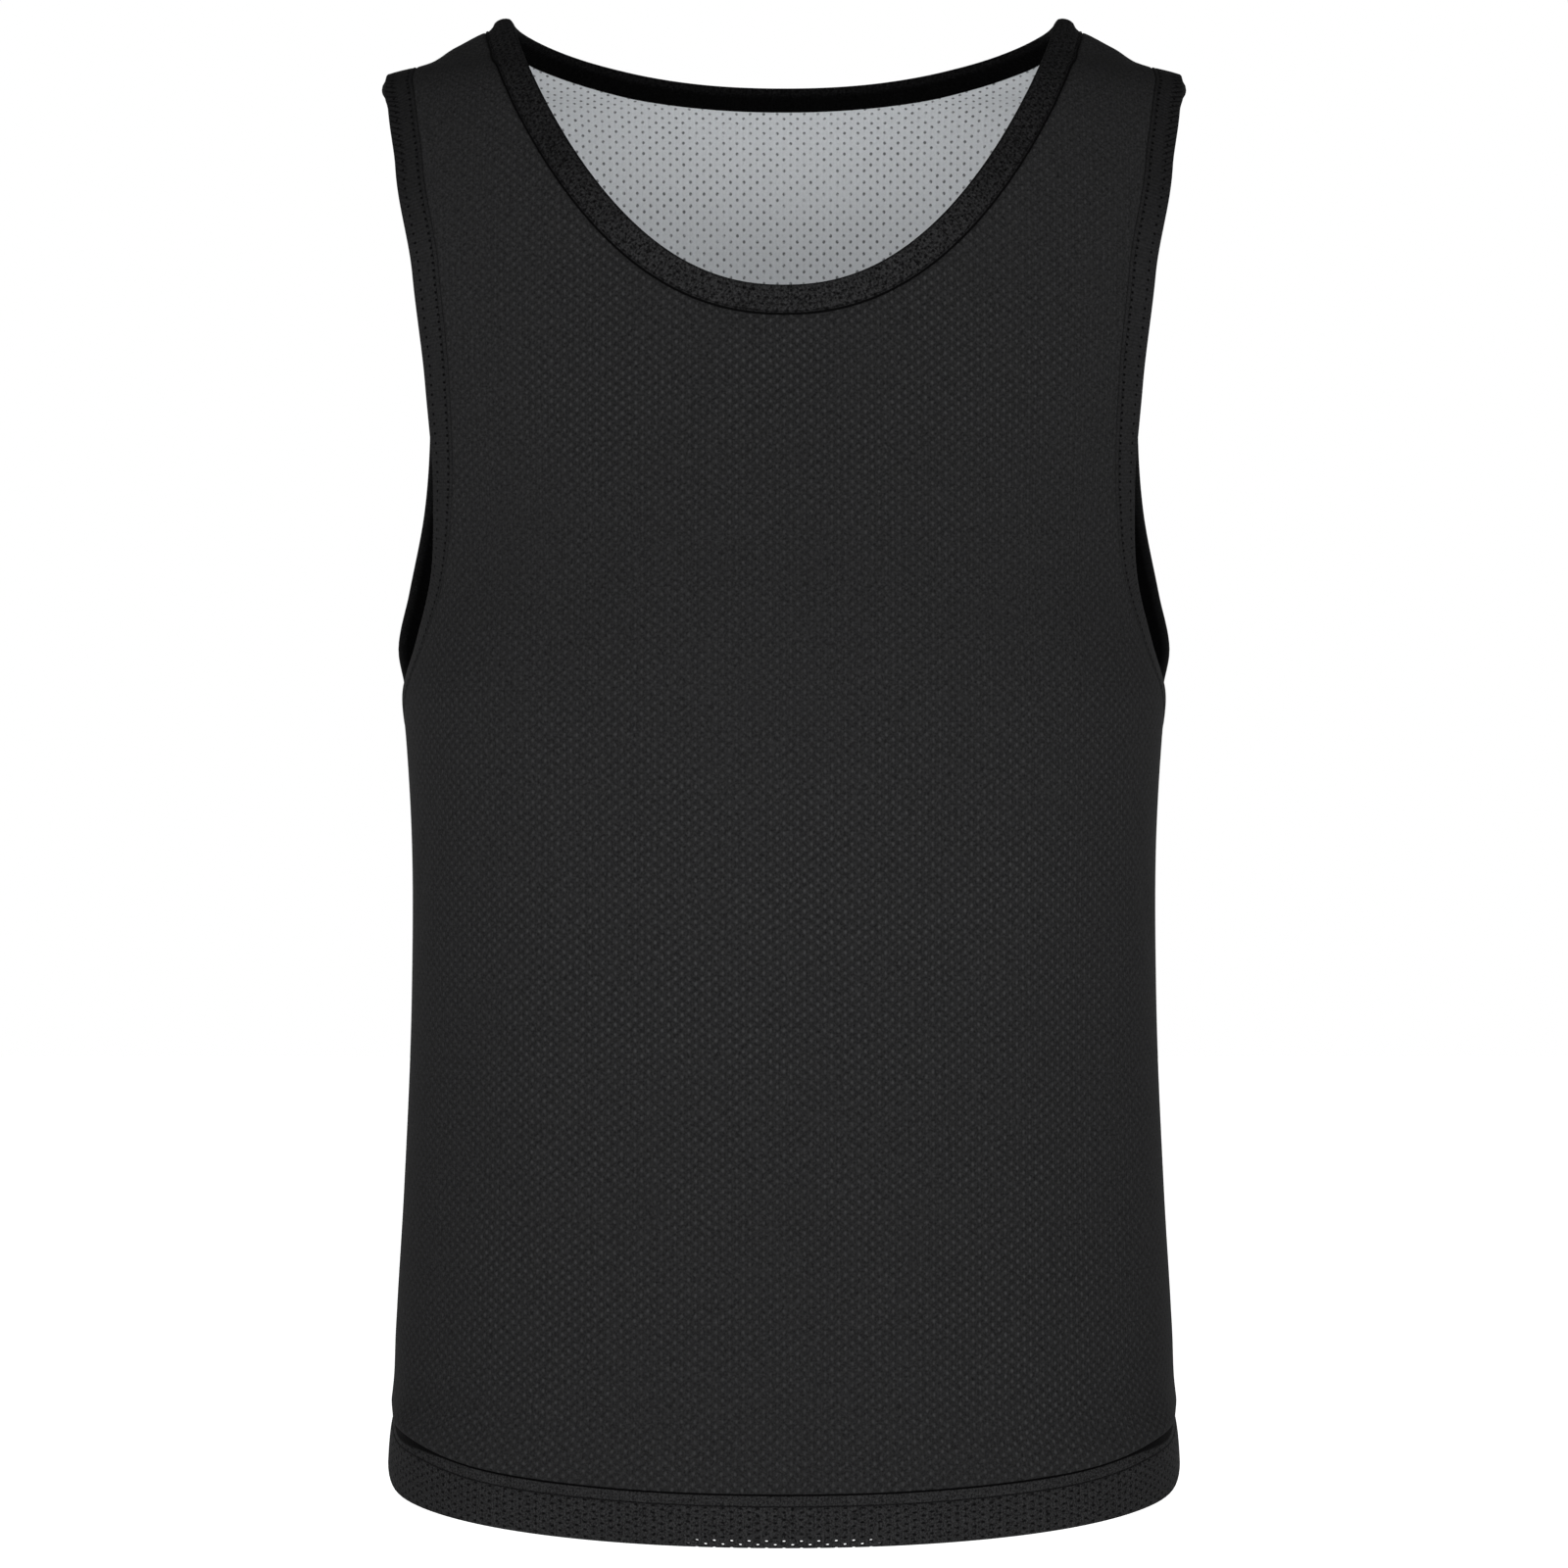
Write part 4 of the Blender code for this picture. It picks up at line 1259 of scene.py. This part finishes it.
@dataclass
class BodyPanel(BodyPiece):
    """An outer panel of black knit, with the pouch at its foot."""

    thick: float = 0.0012
    out: float = 0.00015
    edge_round: float = 0.0017
    edge_thick: float = 0.00035
    pouch_between: int = 4

    def pouch_rows(self) -> tuple[Array, ...]:
        """The pouch's outer and inner points, lengths and clearness, lowest row first."""
        net, angle = self.net, self.net.foot
        section = net.pouch.section(self.pouch_between)
        rise = section[:, :1] + 0 * angle[None]
        out = section[:, 1:2] + section[:, 2:3] * net.pouch.reach(angle)[None]
        down, away = np.gradient(rise, axis=0), np.gradient(out, axis=0)
        size = np.hypot(down, away)
        lowest = net.pouch.fold.at(net.face, angle)[None]
        turned = np.broadcast_to(angle, rise.shape)
        sheets = []
        for side in (0.5 * self.thick, -0.5 * self.thick):
            z = lowest + rise + side * away / size
            sheets.append(net.form.cloth(net.face, turned, z, out - side * down / size))
        path = np.hypot(np.diff(rise, axis=0), np.diff(out, axis=0)).cumsum(0)
        uvs = np.repeat(self.lengths.at(turned[:1], lowest + rise[:1]), len(rise), axis=0)
        uvs[1:, :, 1] -= path
        clear = net.form.clearness(net.face, turned, lowest + rise)
        return tuple(rows[:0:-1] for rows in (*sheets, uvs, clear))

    def build(self) -> None:
        net = self.net
        outer, inner, uvs, clear = self.pouch_rows()
        near = np.clip(1 - net.from_edge() / self.edge_round, 0, 1)
        thick = self.edge_thick + (self.thick - self.edge_thick) * np.sqrt(1 - near**2)
        wall = Wall(
            np.concatenate([outer.reshape(-1, 3), self.sheet(self.out + thick)]),
            np.concatenate([inner.reshape(-1, 3), self.sheet(self.out)]),
            np.concatenate([uvs.reshape(-1, 2), self.lengths.at(net.angle, net.z).reshape(-1, 2)]),
            net.cells(len(outer)),
            np.concatenate([clear.ravel(), net.form.clearness(net.face, net.angle, net.z).ravel()]),
        )
        self.finish_wall(wall, Slot.MESH_BLACK)


@dataclass
class Lining(BodyPiece):
    """A white lining on the panel's own net, down to the hem band."""

    thick: float = 0.0010
    out: float = -0.00015
    foot_rows: int = 6

    def build(self) -> None:
        net, angle = self.net, self.net.foot
        low = net.pouch.fold.at(net.face, angle) + net.pouch.tuck
        share = np.linspace(0, 1, self.foot_rows, endpoint=False)[:, None]
        foot = low + share * (net.pouch.steps[0].rise - net.pouch.tuck)
        turned = np.broadcast_to(angle, foot.shape)
        sheets = []
        for out in (self.out, self.out - self.thick):
            below = net.form.cloth(net.face, turned, foot, out + 0 * foot)
            sheets.append(np.concatenate([below.reshape(-1, 3), self.sheet(out)]))
        places = [self.lengths.at(turned, foot), self.lengths.at(net.angle, net.z)]
        uvs = np.concatenate([place.reshape(-1, 2) for place in places])
        self.finish_wall(Wall(*sheets, uvs, net.cells(self.foot_rows)), Slot.MESH_WHITE)


@dataclass(frozen=True)
class StripSection:
    """The section of a strip folded over an edge: its thickness, rounding and sewn groove."""

    width: float
    half_thick: float
    edge_round: float = 0.0015
    seam_half: float = 0.00065
    seam_round: float = 0.0010
    groove_from_seam: float = 0.0018
    groove_depth: float = 0.00042
    groove_half: float = 0.00042
    plain_step: float = 0.0014
    dome_share: float = 0.72
    edge_count: int = 7
    dip_count: int = 9
    dip_reach: float = 2.4
    seam_count: int = 4
    seam_share: float = 0.9
    seam_crowding: float = 1.3

    @property
    def groove(self) -> float:
        """The groove's distance from the folded edge."""
        return self.width - self.groove_from_seam

    def stations(self) -> Array:
        """Distances from the folded edge, close together where the section curves."""
        edge = self.edge_round * (1 - np.cos(np.linspace(0, math.pi / 2, self.edge_count)))
        dip = np.linspace(-self.dip_reach, self.dip_reach, self.dip_count)
        dip = self.groove + self.groove_half * dip
        seam = np.linspace(self.seam_share, 0, self.seam_count) ** self.seam_crowding
        seam = self.width - self.seam_round * seam
        plain_end = min(dip[0], seam[0])
        count = max(2, round((plain_end - edge[-1]) / self.plain_step))
        plain = np.linspace(edge[-1], plain_end, count, endpoint=False)[1:]
        past = np.linspace(dip[-1], seam[0], max(2, round((seam[0] - dip[-1]) / self.plain_step) + 1))
        return np.concatenate([edge, plain, dip, past[1:-1], seam])

    def dome(self, distance: float) -> float:
        """0 at the folded edge and well inside the seam, 1 between, by the distance from the edge."""
        share = min(max(distance / (self.dome_share * self.width), 0.0), 1.0)
        return math.sqrt(4 * share * (1 - share))

    def half(self, distance: Array) -> Array:
        """Half of the thickness at distances from the folded edge."""
        inside = np.clip(1 - distance / self.edge_round, 0, 1)
        body = self.half_thick * np.sqrt(1 - inside**2)
        near = np.clip(1 - (self.width - distance) / self.seam_round, 0, 1)
        body -= (self.half_thick - self.seam_half) * (1 - np.sqrt(1 - near**2))
        return body - self.groove_depth * np.exp(-(((distance - self.groove) / self.groove_half) ** 2))


@dataclass
class FoldedStrip:
    """A strip of cloth folded over an edge and sewn down beside it."""

    form: GarmentForm
    section: StripSection
    line: Callable[[float], Stations]
    ring: bool
    finish: Material
    slot: Slot
    name: str
    out: float = 0.0
    repeat: float = 0.0056
    bulky: float = 0.0
    bulk_reach: float = 0.010
    bulk_from: float = -0.1

    def row(self, distance: float, half: float) -> Array:
        """Points along the strip, by their distance from its folded edge and its middle layer."""
        found = []
        for face, angle, z in self.line(distance):
            forward = self.form.forward(face, angle, z)
            seam = np.exp(-((forward / self.bulk_reach) ** 2)) * (z > self.bulk_from)
            bulk = 1 + self.bulky * self.section.dome(distance) * seam
            found.append(self.form.cloth(face, angle, z, self.out + half * bulk))
        return np.concatenate(found)

    def seam_path(self) -> Array:
        """The middle of the sewn groove on the outside."""
        return self.row(self.section.groove, self.section.half(np.array([self.section.groove]))[0])

    def lengths(self) -> Array:
        """Lengths along the strip's middle, in whole repeats round a ring, else from its middle."""
        middle = self.row(0.5 * self.section.width, 0.0)
        if self.ring:
            middle = np.concatenate([middle, middle[:1]])
        along = path_lengths(middle)
        if self.ring:
            return along * (round(along[-1] / self.repeat) * self.repeat / along[-1])
        return along - 0.5 * along[-1]

    def build(self) -> None:
        distances = self.section.stations()
        halves = self.section.half(distances)
        outer = [self.row(d, h) for d, h in zip(distances, halves)]
        inner = [self.row(d, -h) for d, h in zip(distances[1:], halves[1:])]
        loop = np.stack([*outer[::-1], *inner])
        count, long = loop.shape[:2]
        numbers = np.arange(count * long).reshape(count, long)
        faces = grid_cells(np.concatenate([numbers, numbers[:1]]), self.ring).tolist()
        along = self.lengths()
        across = np.concatenate([distances[::-1], -distances[1:]])[:, None]
        low, high = (np.concatenate([part, across[:1]]) for part in (across[:-1], across[1:]))
        corners = [(along[:-1], low), (along[1:], low), (along[1:], high), (along[:-1], high)]
        uvs = np.stack([np.stack(np.broadcast_arrays(*pair), axis=-1) for pair in corners], axis=2)
        uvs = uvs.reshape(-1, 2).tolist()
        if not self.ring:
            self.close_ends(faces, uvs, numbers, along)
        piece = make_mesh(self.name, loop.reshape(-1, 3), faces, np.array(uvs), self.finish)
        declare(piece, self.slot, self.name)

    @staticmethod
    def close_ends(faces: list, uvs: list, numbers: Array, along: Array) -> None:
        """Closes both ends of an open strip with a ladder of cells."""
        for end, turn in ((0, 1), (-1, -1)):
            for i in range((len(numbers) - 1) // 2):
                j = len(numbers) - 1 - i
                cell = list(dict.fromkeys([i, i + 1, j - 1, j]))[::turn]
                if len(cell) > 2:
                    faces.append(numbers[cell, end].tolist())
                    uvs += [(along[end], 0.0)] * len(cell)


@dataclass(frozen=True)
class StitchTree:
    """Geometry Nodes that lay stitches along a path, each a little different in size."""

    pitch: float = 0.0030
    length: float = 0.0024
    width: float = 0.00042
    seed: int = 7
    least: tuple[float, float, float] = (0.94, 0.9, 0.85)
    most: tuple[float, float, float] = (1.04, 1.1, 1.05)

    def group(self) -> bpy.types.NodeTree:
        """Writes the node group once, with named inputs."""
        tree = bpy.data.node_groups.get("Stitches")
        if tree:
            return tree
        tree = bpy.data.node_groups.new("Stitches", "GeometryNodeTree")
        kinds = {"Path": "Geometry", "Pitch": "Float", "Length": "Float", "Width": "Float"}
        for name, kind in (kinds | {"Seed": "Int", "Thread": "Material"}).items():
            tree.interface.new_socket(name, in_out="INPUT", socket_type=f"NodeSocket{kind}")
        tree.interface.new_socket("Stitches", in_out="OUTPUT", socket_type="NodeSocketGeometry")
        add, align = partial(add_node, tree), "FunctionNodeAlignRotationToVector"
        given = add("NodeGroupInput").outputs
        path = {"Curve": add("GeometryNodeMeshToCurve", inputs={"Mesh": given["Path"]})}
        path |= {"Length": given["Pitch"]}
        spaced = add("GeometryNodeResampleCurve", {"mode": "LENGTH"}, path)
        vector = {"data_type": "FLOAT_VECTOR"}
        away = add("GeometryNodeInputNamedAttribute", vector, {"Name": "outward"})
        along = add(align, {"axis": "X"}, {"Vector": add("GeometryNodeInputTangent")})
        settings = {"axis": "Z", "pivot_axis": "X"}
        upright = add(align, settings, {"Rotation": along, "Vector": away})
        limits = {"Min": self.least, "Max": self.most, "Seed": given["Seed"]}
        jitter = add("FunctionNodeRandomValue", vector, limits)
        size = {0: given["Length"], 1: given["Width"], 2: given["Width"]}
        size = {0: add("ShaderNodeCombineXYZ", inputs=size), 1: jitter}
        scale = add("ShaderNodeVectorMath", {"operation": "MULTIPLY"}, size)
        bead = add("GeometryNodeMeshUVSphere", inputs={"Segments": 8, "Rings": 6, "Radius": 0.5})
        bead = add("GeometryNodeSetShadeSmooth", inputs={"Geometry": bead})
        laid = {"Points": spaced, "Instance": bead, "Rotation": upright, "Scale": scale}
        laid = add("GeometryNodeInstanceOnPoints", inputs=laid)
        real = add("GeometryNodeRealizeInstances", inputs={"Geometry": laid})
        dressed = {"Geometry": real, "Material": given["Thread"]}
        add("NodeGroupOutput", inputs={"Stitches": add("GeometryNodeSetMaterial", inputs=dressed)})
        return tree

    def sew(self, name: str, path: Array, outward: Array, ring: bool, thread: Material) -> None:
        """Sews a line of stitches, as one plain mesh.

        Args:
            name: The piece's name.
            path: Points that the line follows.
            outward: The cloth's normals there.
            ring: Whether the line closes on itself.
            thread: The thread's finish.
        """
        count = len(path)
        edges = [(i, (i + 1) % count) for i in range(count if ring else count - 1)]
        guide = bpy.data.meshes.new(name)
        guide.from_pydata(path.tolist(), edges, [])
        layer = guide.attributes.new("outward", "FLOAT_VECTOR", "POINT")
        layer.data.foreach_set("vector", outward.astype(np.float32).ravel())
        piece = bpy.data.objects.new(name, guide)
        bpy.context.scene.collection.objects.link(piece)
        modifier = piece.modifiers.new("Stitches", "NODES")
        modifier.node_group = self.group()
        values = {"Pitch": self.pitch, "Length": self.length, "Width": self.width}
        values |= {"Seed": self.seed, "Thread": thread}
        for item in modifier.node_group.interface.items_tree:
            if item.in_out == "INPUT" and item.name in values:
                modifier[item.identifier] = values[item.name]
        graph = bpy.context.evaluated_depsgraph_get()
        mesh = bpy.data.meshes.new_from_object(piece.evaluated_get(graph), depsgraph=graph)
        piece.modifiers.remove(modifier)
        piece.data = mesh
        bpy.data.meshes.remove(guide)
        declare(piece, Slot.BINDING)


@dataclass
class Bib:
    """The whole garment: its sizes, its lines and its pieces."""

    form: GarmentForm = field(default_factory=GarmentForm)
    pouch: Pouch = field(default_factory=Pouch)
    neck_width: float = 0.0142
    neck_seam_in: float = 0.0004
    neck_bulk: float = 2.6
    arm_width: float = 0.0145
    arm_groove: float = 0.00022
    arm_bulk: float = 0.2
    band_half: float = 0.00148
    hem_half: float = 0.0012
    hem_round: float = 0.0012
    hem_seam_half: float = 0.0009
    hem_groove: float = 0.0003
    hem_out: float = -0.0006
    # Where the painted shade under the pouch starts, as a share of the hem band's height
    hem_lip: float = 0.785
    hem_stitch_drop: float = 0.0123
    neck_stations: int = 72
    arm_stations: int = 96
    stitches: StitchTree = field(default_factory=StitchTree)

    def __post_init__(self) -> None:
        """Lays the garment's lines, nets and finishes out."""
        self.neck = NeckEdge(self.form, self.neck_width)
        self.arm = ArmEdge(self.form, self.arm_width)
        self.nets = {f: PanelNet(self.form, f, self.neck, self.arm, self.pouch) for f in Face}
        self.lengths = {f: ClothLengths(self.form, f) for f in Face}
        self.neck_shares = {f: self.neck.even_shares(f, self.neck_stations) for f in Face}
        self.arm_shares = {f: self.arm.even_shares(f, self.arm_stations) for f in Face}
        self.black = MeshKnit(
            "knit_black",
            (0.0158, 0.0158, 0.0162),
            # The white lining painted in shade, as it shows through the holes
            (0.0390, 0.0395, 0.0405),
            Lattice(0.0060, 0.0046, 0.00060, 0.00080, 0.60),
        ).material()
        self.white = MeshKnit(
            "knit_white",
            (0.66, 0.68, 0.70),
            (0.16, 0.165, 0.17),
            Lattice(0.0066, 0.0059, 0.00066, 0.00080, 0.50),
            swell=0.03,
            ground=0.02,
            grain=0.3,
            specks=0.0,
            by_patches=False,
        ).material()
        self.neck_binding = BindingKnit(
            "binding_neck",
            (0.0165, 0.0165, 0.0170),
            Lattice(0.0043, 0.0062, 0.00070, 0.00055, 0.5),
            hole_share=0.8,
            grain=6.5,
            # Painted shade over the folded edge and inside
            edge_shade=0.45,
            seam=self.neck_width - self.neck_seam_in,
            upper_shade=0.6,
        ).material()
        self.arm_binding = BindingKnit(
            "binding_armhole",
            (0.0150, 0.0150, 0.0154),
            Lattice(0.0056, 0.0062, 0.00042, 0.00042, 0.5),
            hole_share=0.25,
            grain=2.0,
            needle_lines=((0.0046, 0.0044), (0.0121, 0.0034)),
            # Painted shade in the gathers at the shoulder tip
            tip_gather_shade=0.75,
            upper_shade=0.75,
        ).material()
        self.hem = BindingKnit(
            "knit_hem",
            (0.0185, 0.0185, 0.0190),
            Lattice(0.0077, 0.0032, 0.00088, 0.00050, 0.5),
            grain=5.5,
            grain_scale=1300.0,
            plain_from=self.hem_height - self.hem_stitch_drop,
            seam=self.hem_height - self.hem_stitch_drop,
            seam_half=0.0003,
            seam_share=0.6,
            clear_half=0.047,
            # Painted shade on the hem band's inside only
            edge_shade=1.0,
            inside_shade=0.8,
            # Painted shade under the pouch
            lip=self.hem_height * self.hem_lip,
        ).material()
        self.thread = Thread("thread_black", (0.0060, 0.0060, 0.0064)).material()

    def neck_line(self, distance: float) -> Stations:
        """Stations once round the neck: right shoulder, front, left shoulder, back."""
        front, front_z = self.neck.beside(Face.FRONT, self.neck_shares[Face.FRONT], distance)
        back, back_z = self.neck.beside(Face.BACK, self.neck_shares[Face.BACK], distance)
        return [
            (Face.FRONT, front, front_z),
            (Face.FRONT, math.pi - front[-2::-1], front_z[-2::-1]),
            (Face.BACK, math.pi - back[1:], back_z[1:]),
            (Face.BACK, back[-2:0:-1], back_z[-2:0:-1]),
        ]

    def arm_line(self, hand: Hand, distance: float) -> Stations:
        """Stations once round an armhole: armpit, front, shoulder tip, back."""
        front, front_z = self.arm.beside(Face.FRONT, self.arm_shares[Face.FRONT], distance)
        back, back_z = self.arm.beside(Face.BACK, self.arm_shares[Face.BACK], distance)
        if hand == Hand.LEFT:
            front, back = math.pi - front, math.pi - back
        return [(Face.FRONT, front, front_z), (Face.BACK, back[-2:0:-1], back_z[-2:0:-1])]

    def hem_line(self, face: Face, distance: float) -> Stations:
        """Stations along half of the hem band, at a share of its height over the lower edge."""
        angle = self.nets[face].foot
        low = self.pouch.hem.at(face, angle)
        top = self.pouch.fold.at(face, angle) + self.pouch.tuck
        return [(face, angle, low + distance / self.hem_height * (top - low))]

    @property
    def hem_height(self) -> float:
        """The hem band's height at the middle of the front."""
        return self.pouch.fold.middle[0] + self.pouch.tuck - self.pouch.hem.middle[0]

    def add_strip(self, name: str, line: Callable[[float], Stations], **sizes: object) -> None:
        """Builds a folded strip and its line of stitches.

        Args:
            name: The strip's name.
            line: Its stations at a distance from its folded edge.
            sizes: Its section, finish and slot, whether it is a ring, and other sizes.
        """
        strip = FoldedStrip(self.form, line=line, name=name, **sizes)
        strip.build()
        stations = line(strip.section.groove)
        outward = np.concatenate([self.form.outward(*station) for station in stations])
        name = name.replace("band", "stitching")
        self.stitches.sew(name, strip.seam_path(), outward, strip.ring, self.thread)

    def build(self) -> None:
        """Builds every piece: the body, the bound neck and armholes, and the hem."""
        for face in Face:
            parts, place = (self.nets[face], self.lengths[face]), face.name.lower()
            BodyPanel(*parts, self.black, f"{place}_panel").build()
            Lining(*parts, self.white, f"{place}_lining").build()
        binding = {"slot": Slot.BINDING, "ring": True, "finish": self.neck_binding}
        section = StripSection(self.neck_width, self.band_half)
        self.add_strip("neck_band", self.neck_line, section=section, bulky=self.neck_bulk, **binding)
        binding["finish"] = self.arm_binding
        section = StripSection(self.arm_width, self.band_half, groove_depth=self.arm_groove)
        for hand in Hand:
            name, line = f"armhole_band_{hand.name.lower()}", partial(self.arm_line, hand)
            self.add_strip(name, line, section=section, bulky=self.arm_bulk, **binding)
        section = StripSection(
            self.hem_height,
            self.hem_half,
            edge_round=self.hem_round,
            seam_half=self.hem_seam_half,
            groove_from_seam=self.hem_stitch_drop,
            groove_depth=self.hem_groove,
        )
        hem = {"section": section, "finish": self.hem, "slot": Slot.HEM, "ring": False}
        for face in Face:
            name = f"hem_band_{face.name.lower()}"
            self.add_strip(name, partial(self.hem_line, face), out=self.hem_out, **hem)


@dataclass(frozen=True)
class Studio:
    """A white studio: a bright horizon, a dimmer sky, a soft light in front, a floor that glows far off,
    a camera.
    """

    distance: float = 2.0
    height: float = -0.342
    lens: float = 97.8
    sensor: float = 36.0
    floor_z: float = -1.05
    floor_half: float = 9.0
    floor_tone: float = 0.80
    floor_glow: float = 0.85
    floor_fade: tuple[float, float] = (1.1, 2.1)
    paper_least: float = 0.99
    paper_more: float = 0.02
    paper_scale: float = 3.0
    paper_grain: float = 60.0
    paper_depth: float = 0.0002
    paper_roughness: float = 0.9
    white: tuple[float, float, float] = (1.0, 1.0, 1.0)
    sky: float = 0.30
    sky_from: float = 0.22
    sky_to: float = 0.55
    key_place: tuple[float, float, float] = (0.0, -1.30, -0.80)
    key_power: float = 11.0
    back_place: tuple[float, float, float] = (0.0, 1.60, -0.60)
    back_power: float = 14.0
    lamp_size: float = 1.0

    def build(self) -> None:
        """Builds the studio."""
        scene = bpy.context.scene
        scene.view_settings.view_transform = "Standard"
        scene.world = self.world()
        self.add_camera(scene)
        self.add_lamp("key", self.key_place, self.key_power)
        self.add_lamp("back", self.back_place, self.back_power)
        self.add_floor(scene)

    def world(self) -> bpy.types.World:
        """White all round the horizon, dimmer overhead."""
        world = bpy.data.worlds.new("studio")
        shading = Shading(world)
        height = shading.height("Generated")
        strength = 1 - (1 - self.sky) * height.smooth(self.sky_from, self.sky_to)
        light = shading.add("ShaderNodeBackground", inputs={"Color": (1, 1, 1, 1), "Strength": strength})
        add_node(shading.tree, "ShaderNodeOutputWorld", inputs={"Surface": light})
        return world

    def add_camera(self, scene: bpy.types.Scene) -> None:
        """Adds the camera, square to the front at the middle of the garment's height."""
        lens = bpy.data.cameras.new("camera")
        lens.lens = self.lens
        lens.sensor_width = self.sensor
        camera = bpy.data.objects.new("camera", lens)
        camera.location = (0.0, -self.distance, self.height)
        camera.rotation_euler = (math.pi / 2, 0.0, 0.0)
        scene.collection.objects.link(camera)
        scene.camera = camera

    def add_lamp(self, name: str, place: tuple[float, float, float], power: float) -> None:
        """Adds a large square light, turned to the garment's middle and hidden itself.

        Args:
            name: The light's name.
            place: Its middle.
            power: In watts.
        """
        lamp = bpy.data.lights.new(name, "AREA")
        lamp.energy = power
        lamp.size = self.lamp_size
        light = bpy.data.objects.new(name, lamp)
        light.location = place
        rise = self.height - place[2]
        turn = 0.0 if place[1] < 0 else math.pi
        light.rotation_euler = (math.pi / 2 + math.atan2(rise, abs(place[1])), 0.0, turn)
        light.visible_camera = False
        bpy.context.scene.collection.objects.link(light)

    def add_floor(self, scene: bpy.types.Scene) -> None:
        """Adds the pale floor, well below the garment, which glows to white far off: painted light."""
        half, z = self.floor_half, self.floor_z
        mesh = bpy.data.meshes.new("floor")
        corners = [(-half, -half, z), (half, -half, z), (half, half, z), (-half, half, z)]
        mesh.from_pydata(corners, [], [(0, 1, 2, 3)])
        finish = Finish("floor_paper")
        length, place = {"operation": "LENGTH"}, {0: finish.place()}
        far = finish.add("ShaderNodeVectorMath", length, place, "Value")
        paper = self.paper_least + self.paper_more * finish.noise(self.paper_scale)
        colour = finish.scaled(self.white, self.floor_tone * paper)
        # Painted light: the floor glows more the further it is from the middle
        glow = finish.scaled(self.white, self.floor_glow * far.smooth(*self.floor_fade))
        normal = finish.bump(finish.noise(self.paper_grain) * self.paper_depth)
        others = {"Roughness": self.paper_roughness, "Emission_Color": glow, "Emission_Strength": 1.0}
        material = finish.finished(colour, normal, **others)
        mesh.materials.append(material)
        floor = bpy.data.objects.new("floor", mesh)
        scene.collection.objects.link(floor)


def main() -> None:
    """Builds the studio and the bib."""
    logging.basicConfig(level=logging.INFO, format="%(name)s: %(message)s")
    Studio().build()
    Bib().build()


if __name__ == "__main__":
    main()
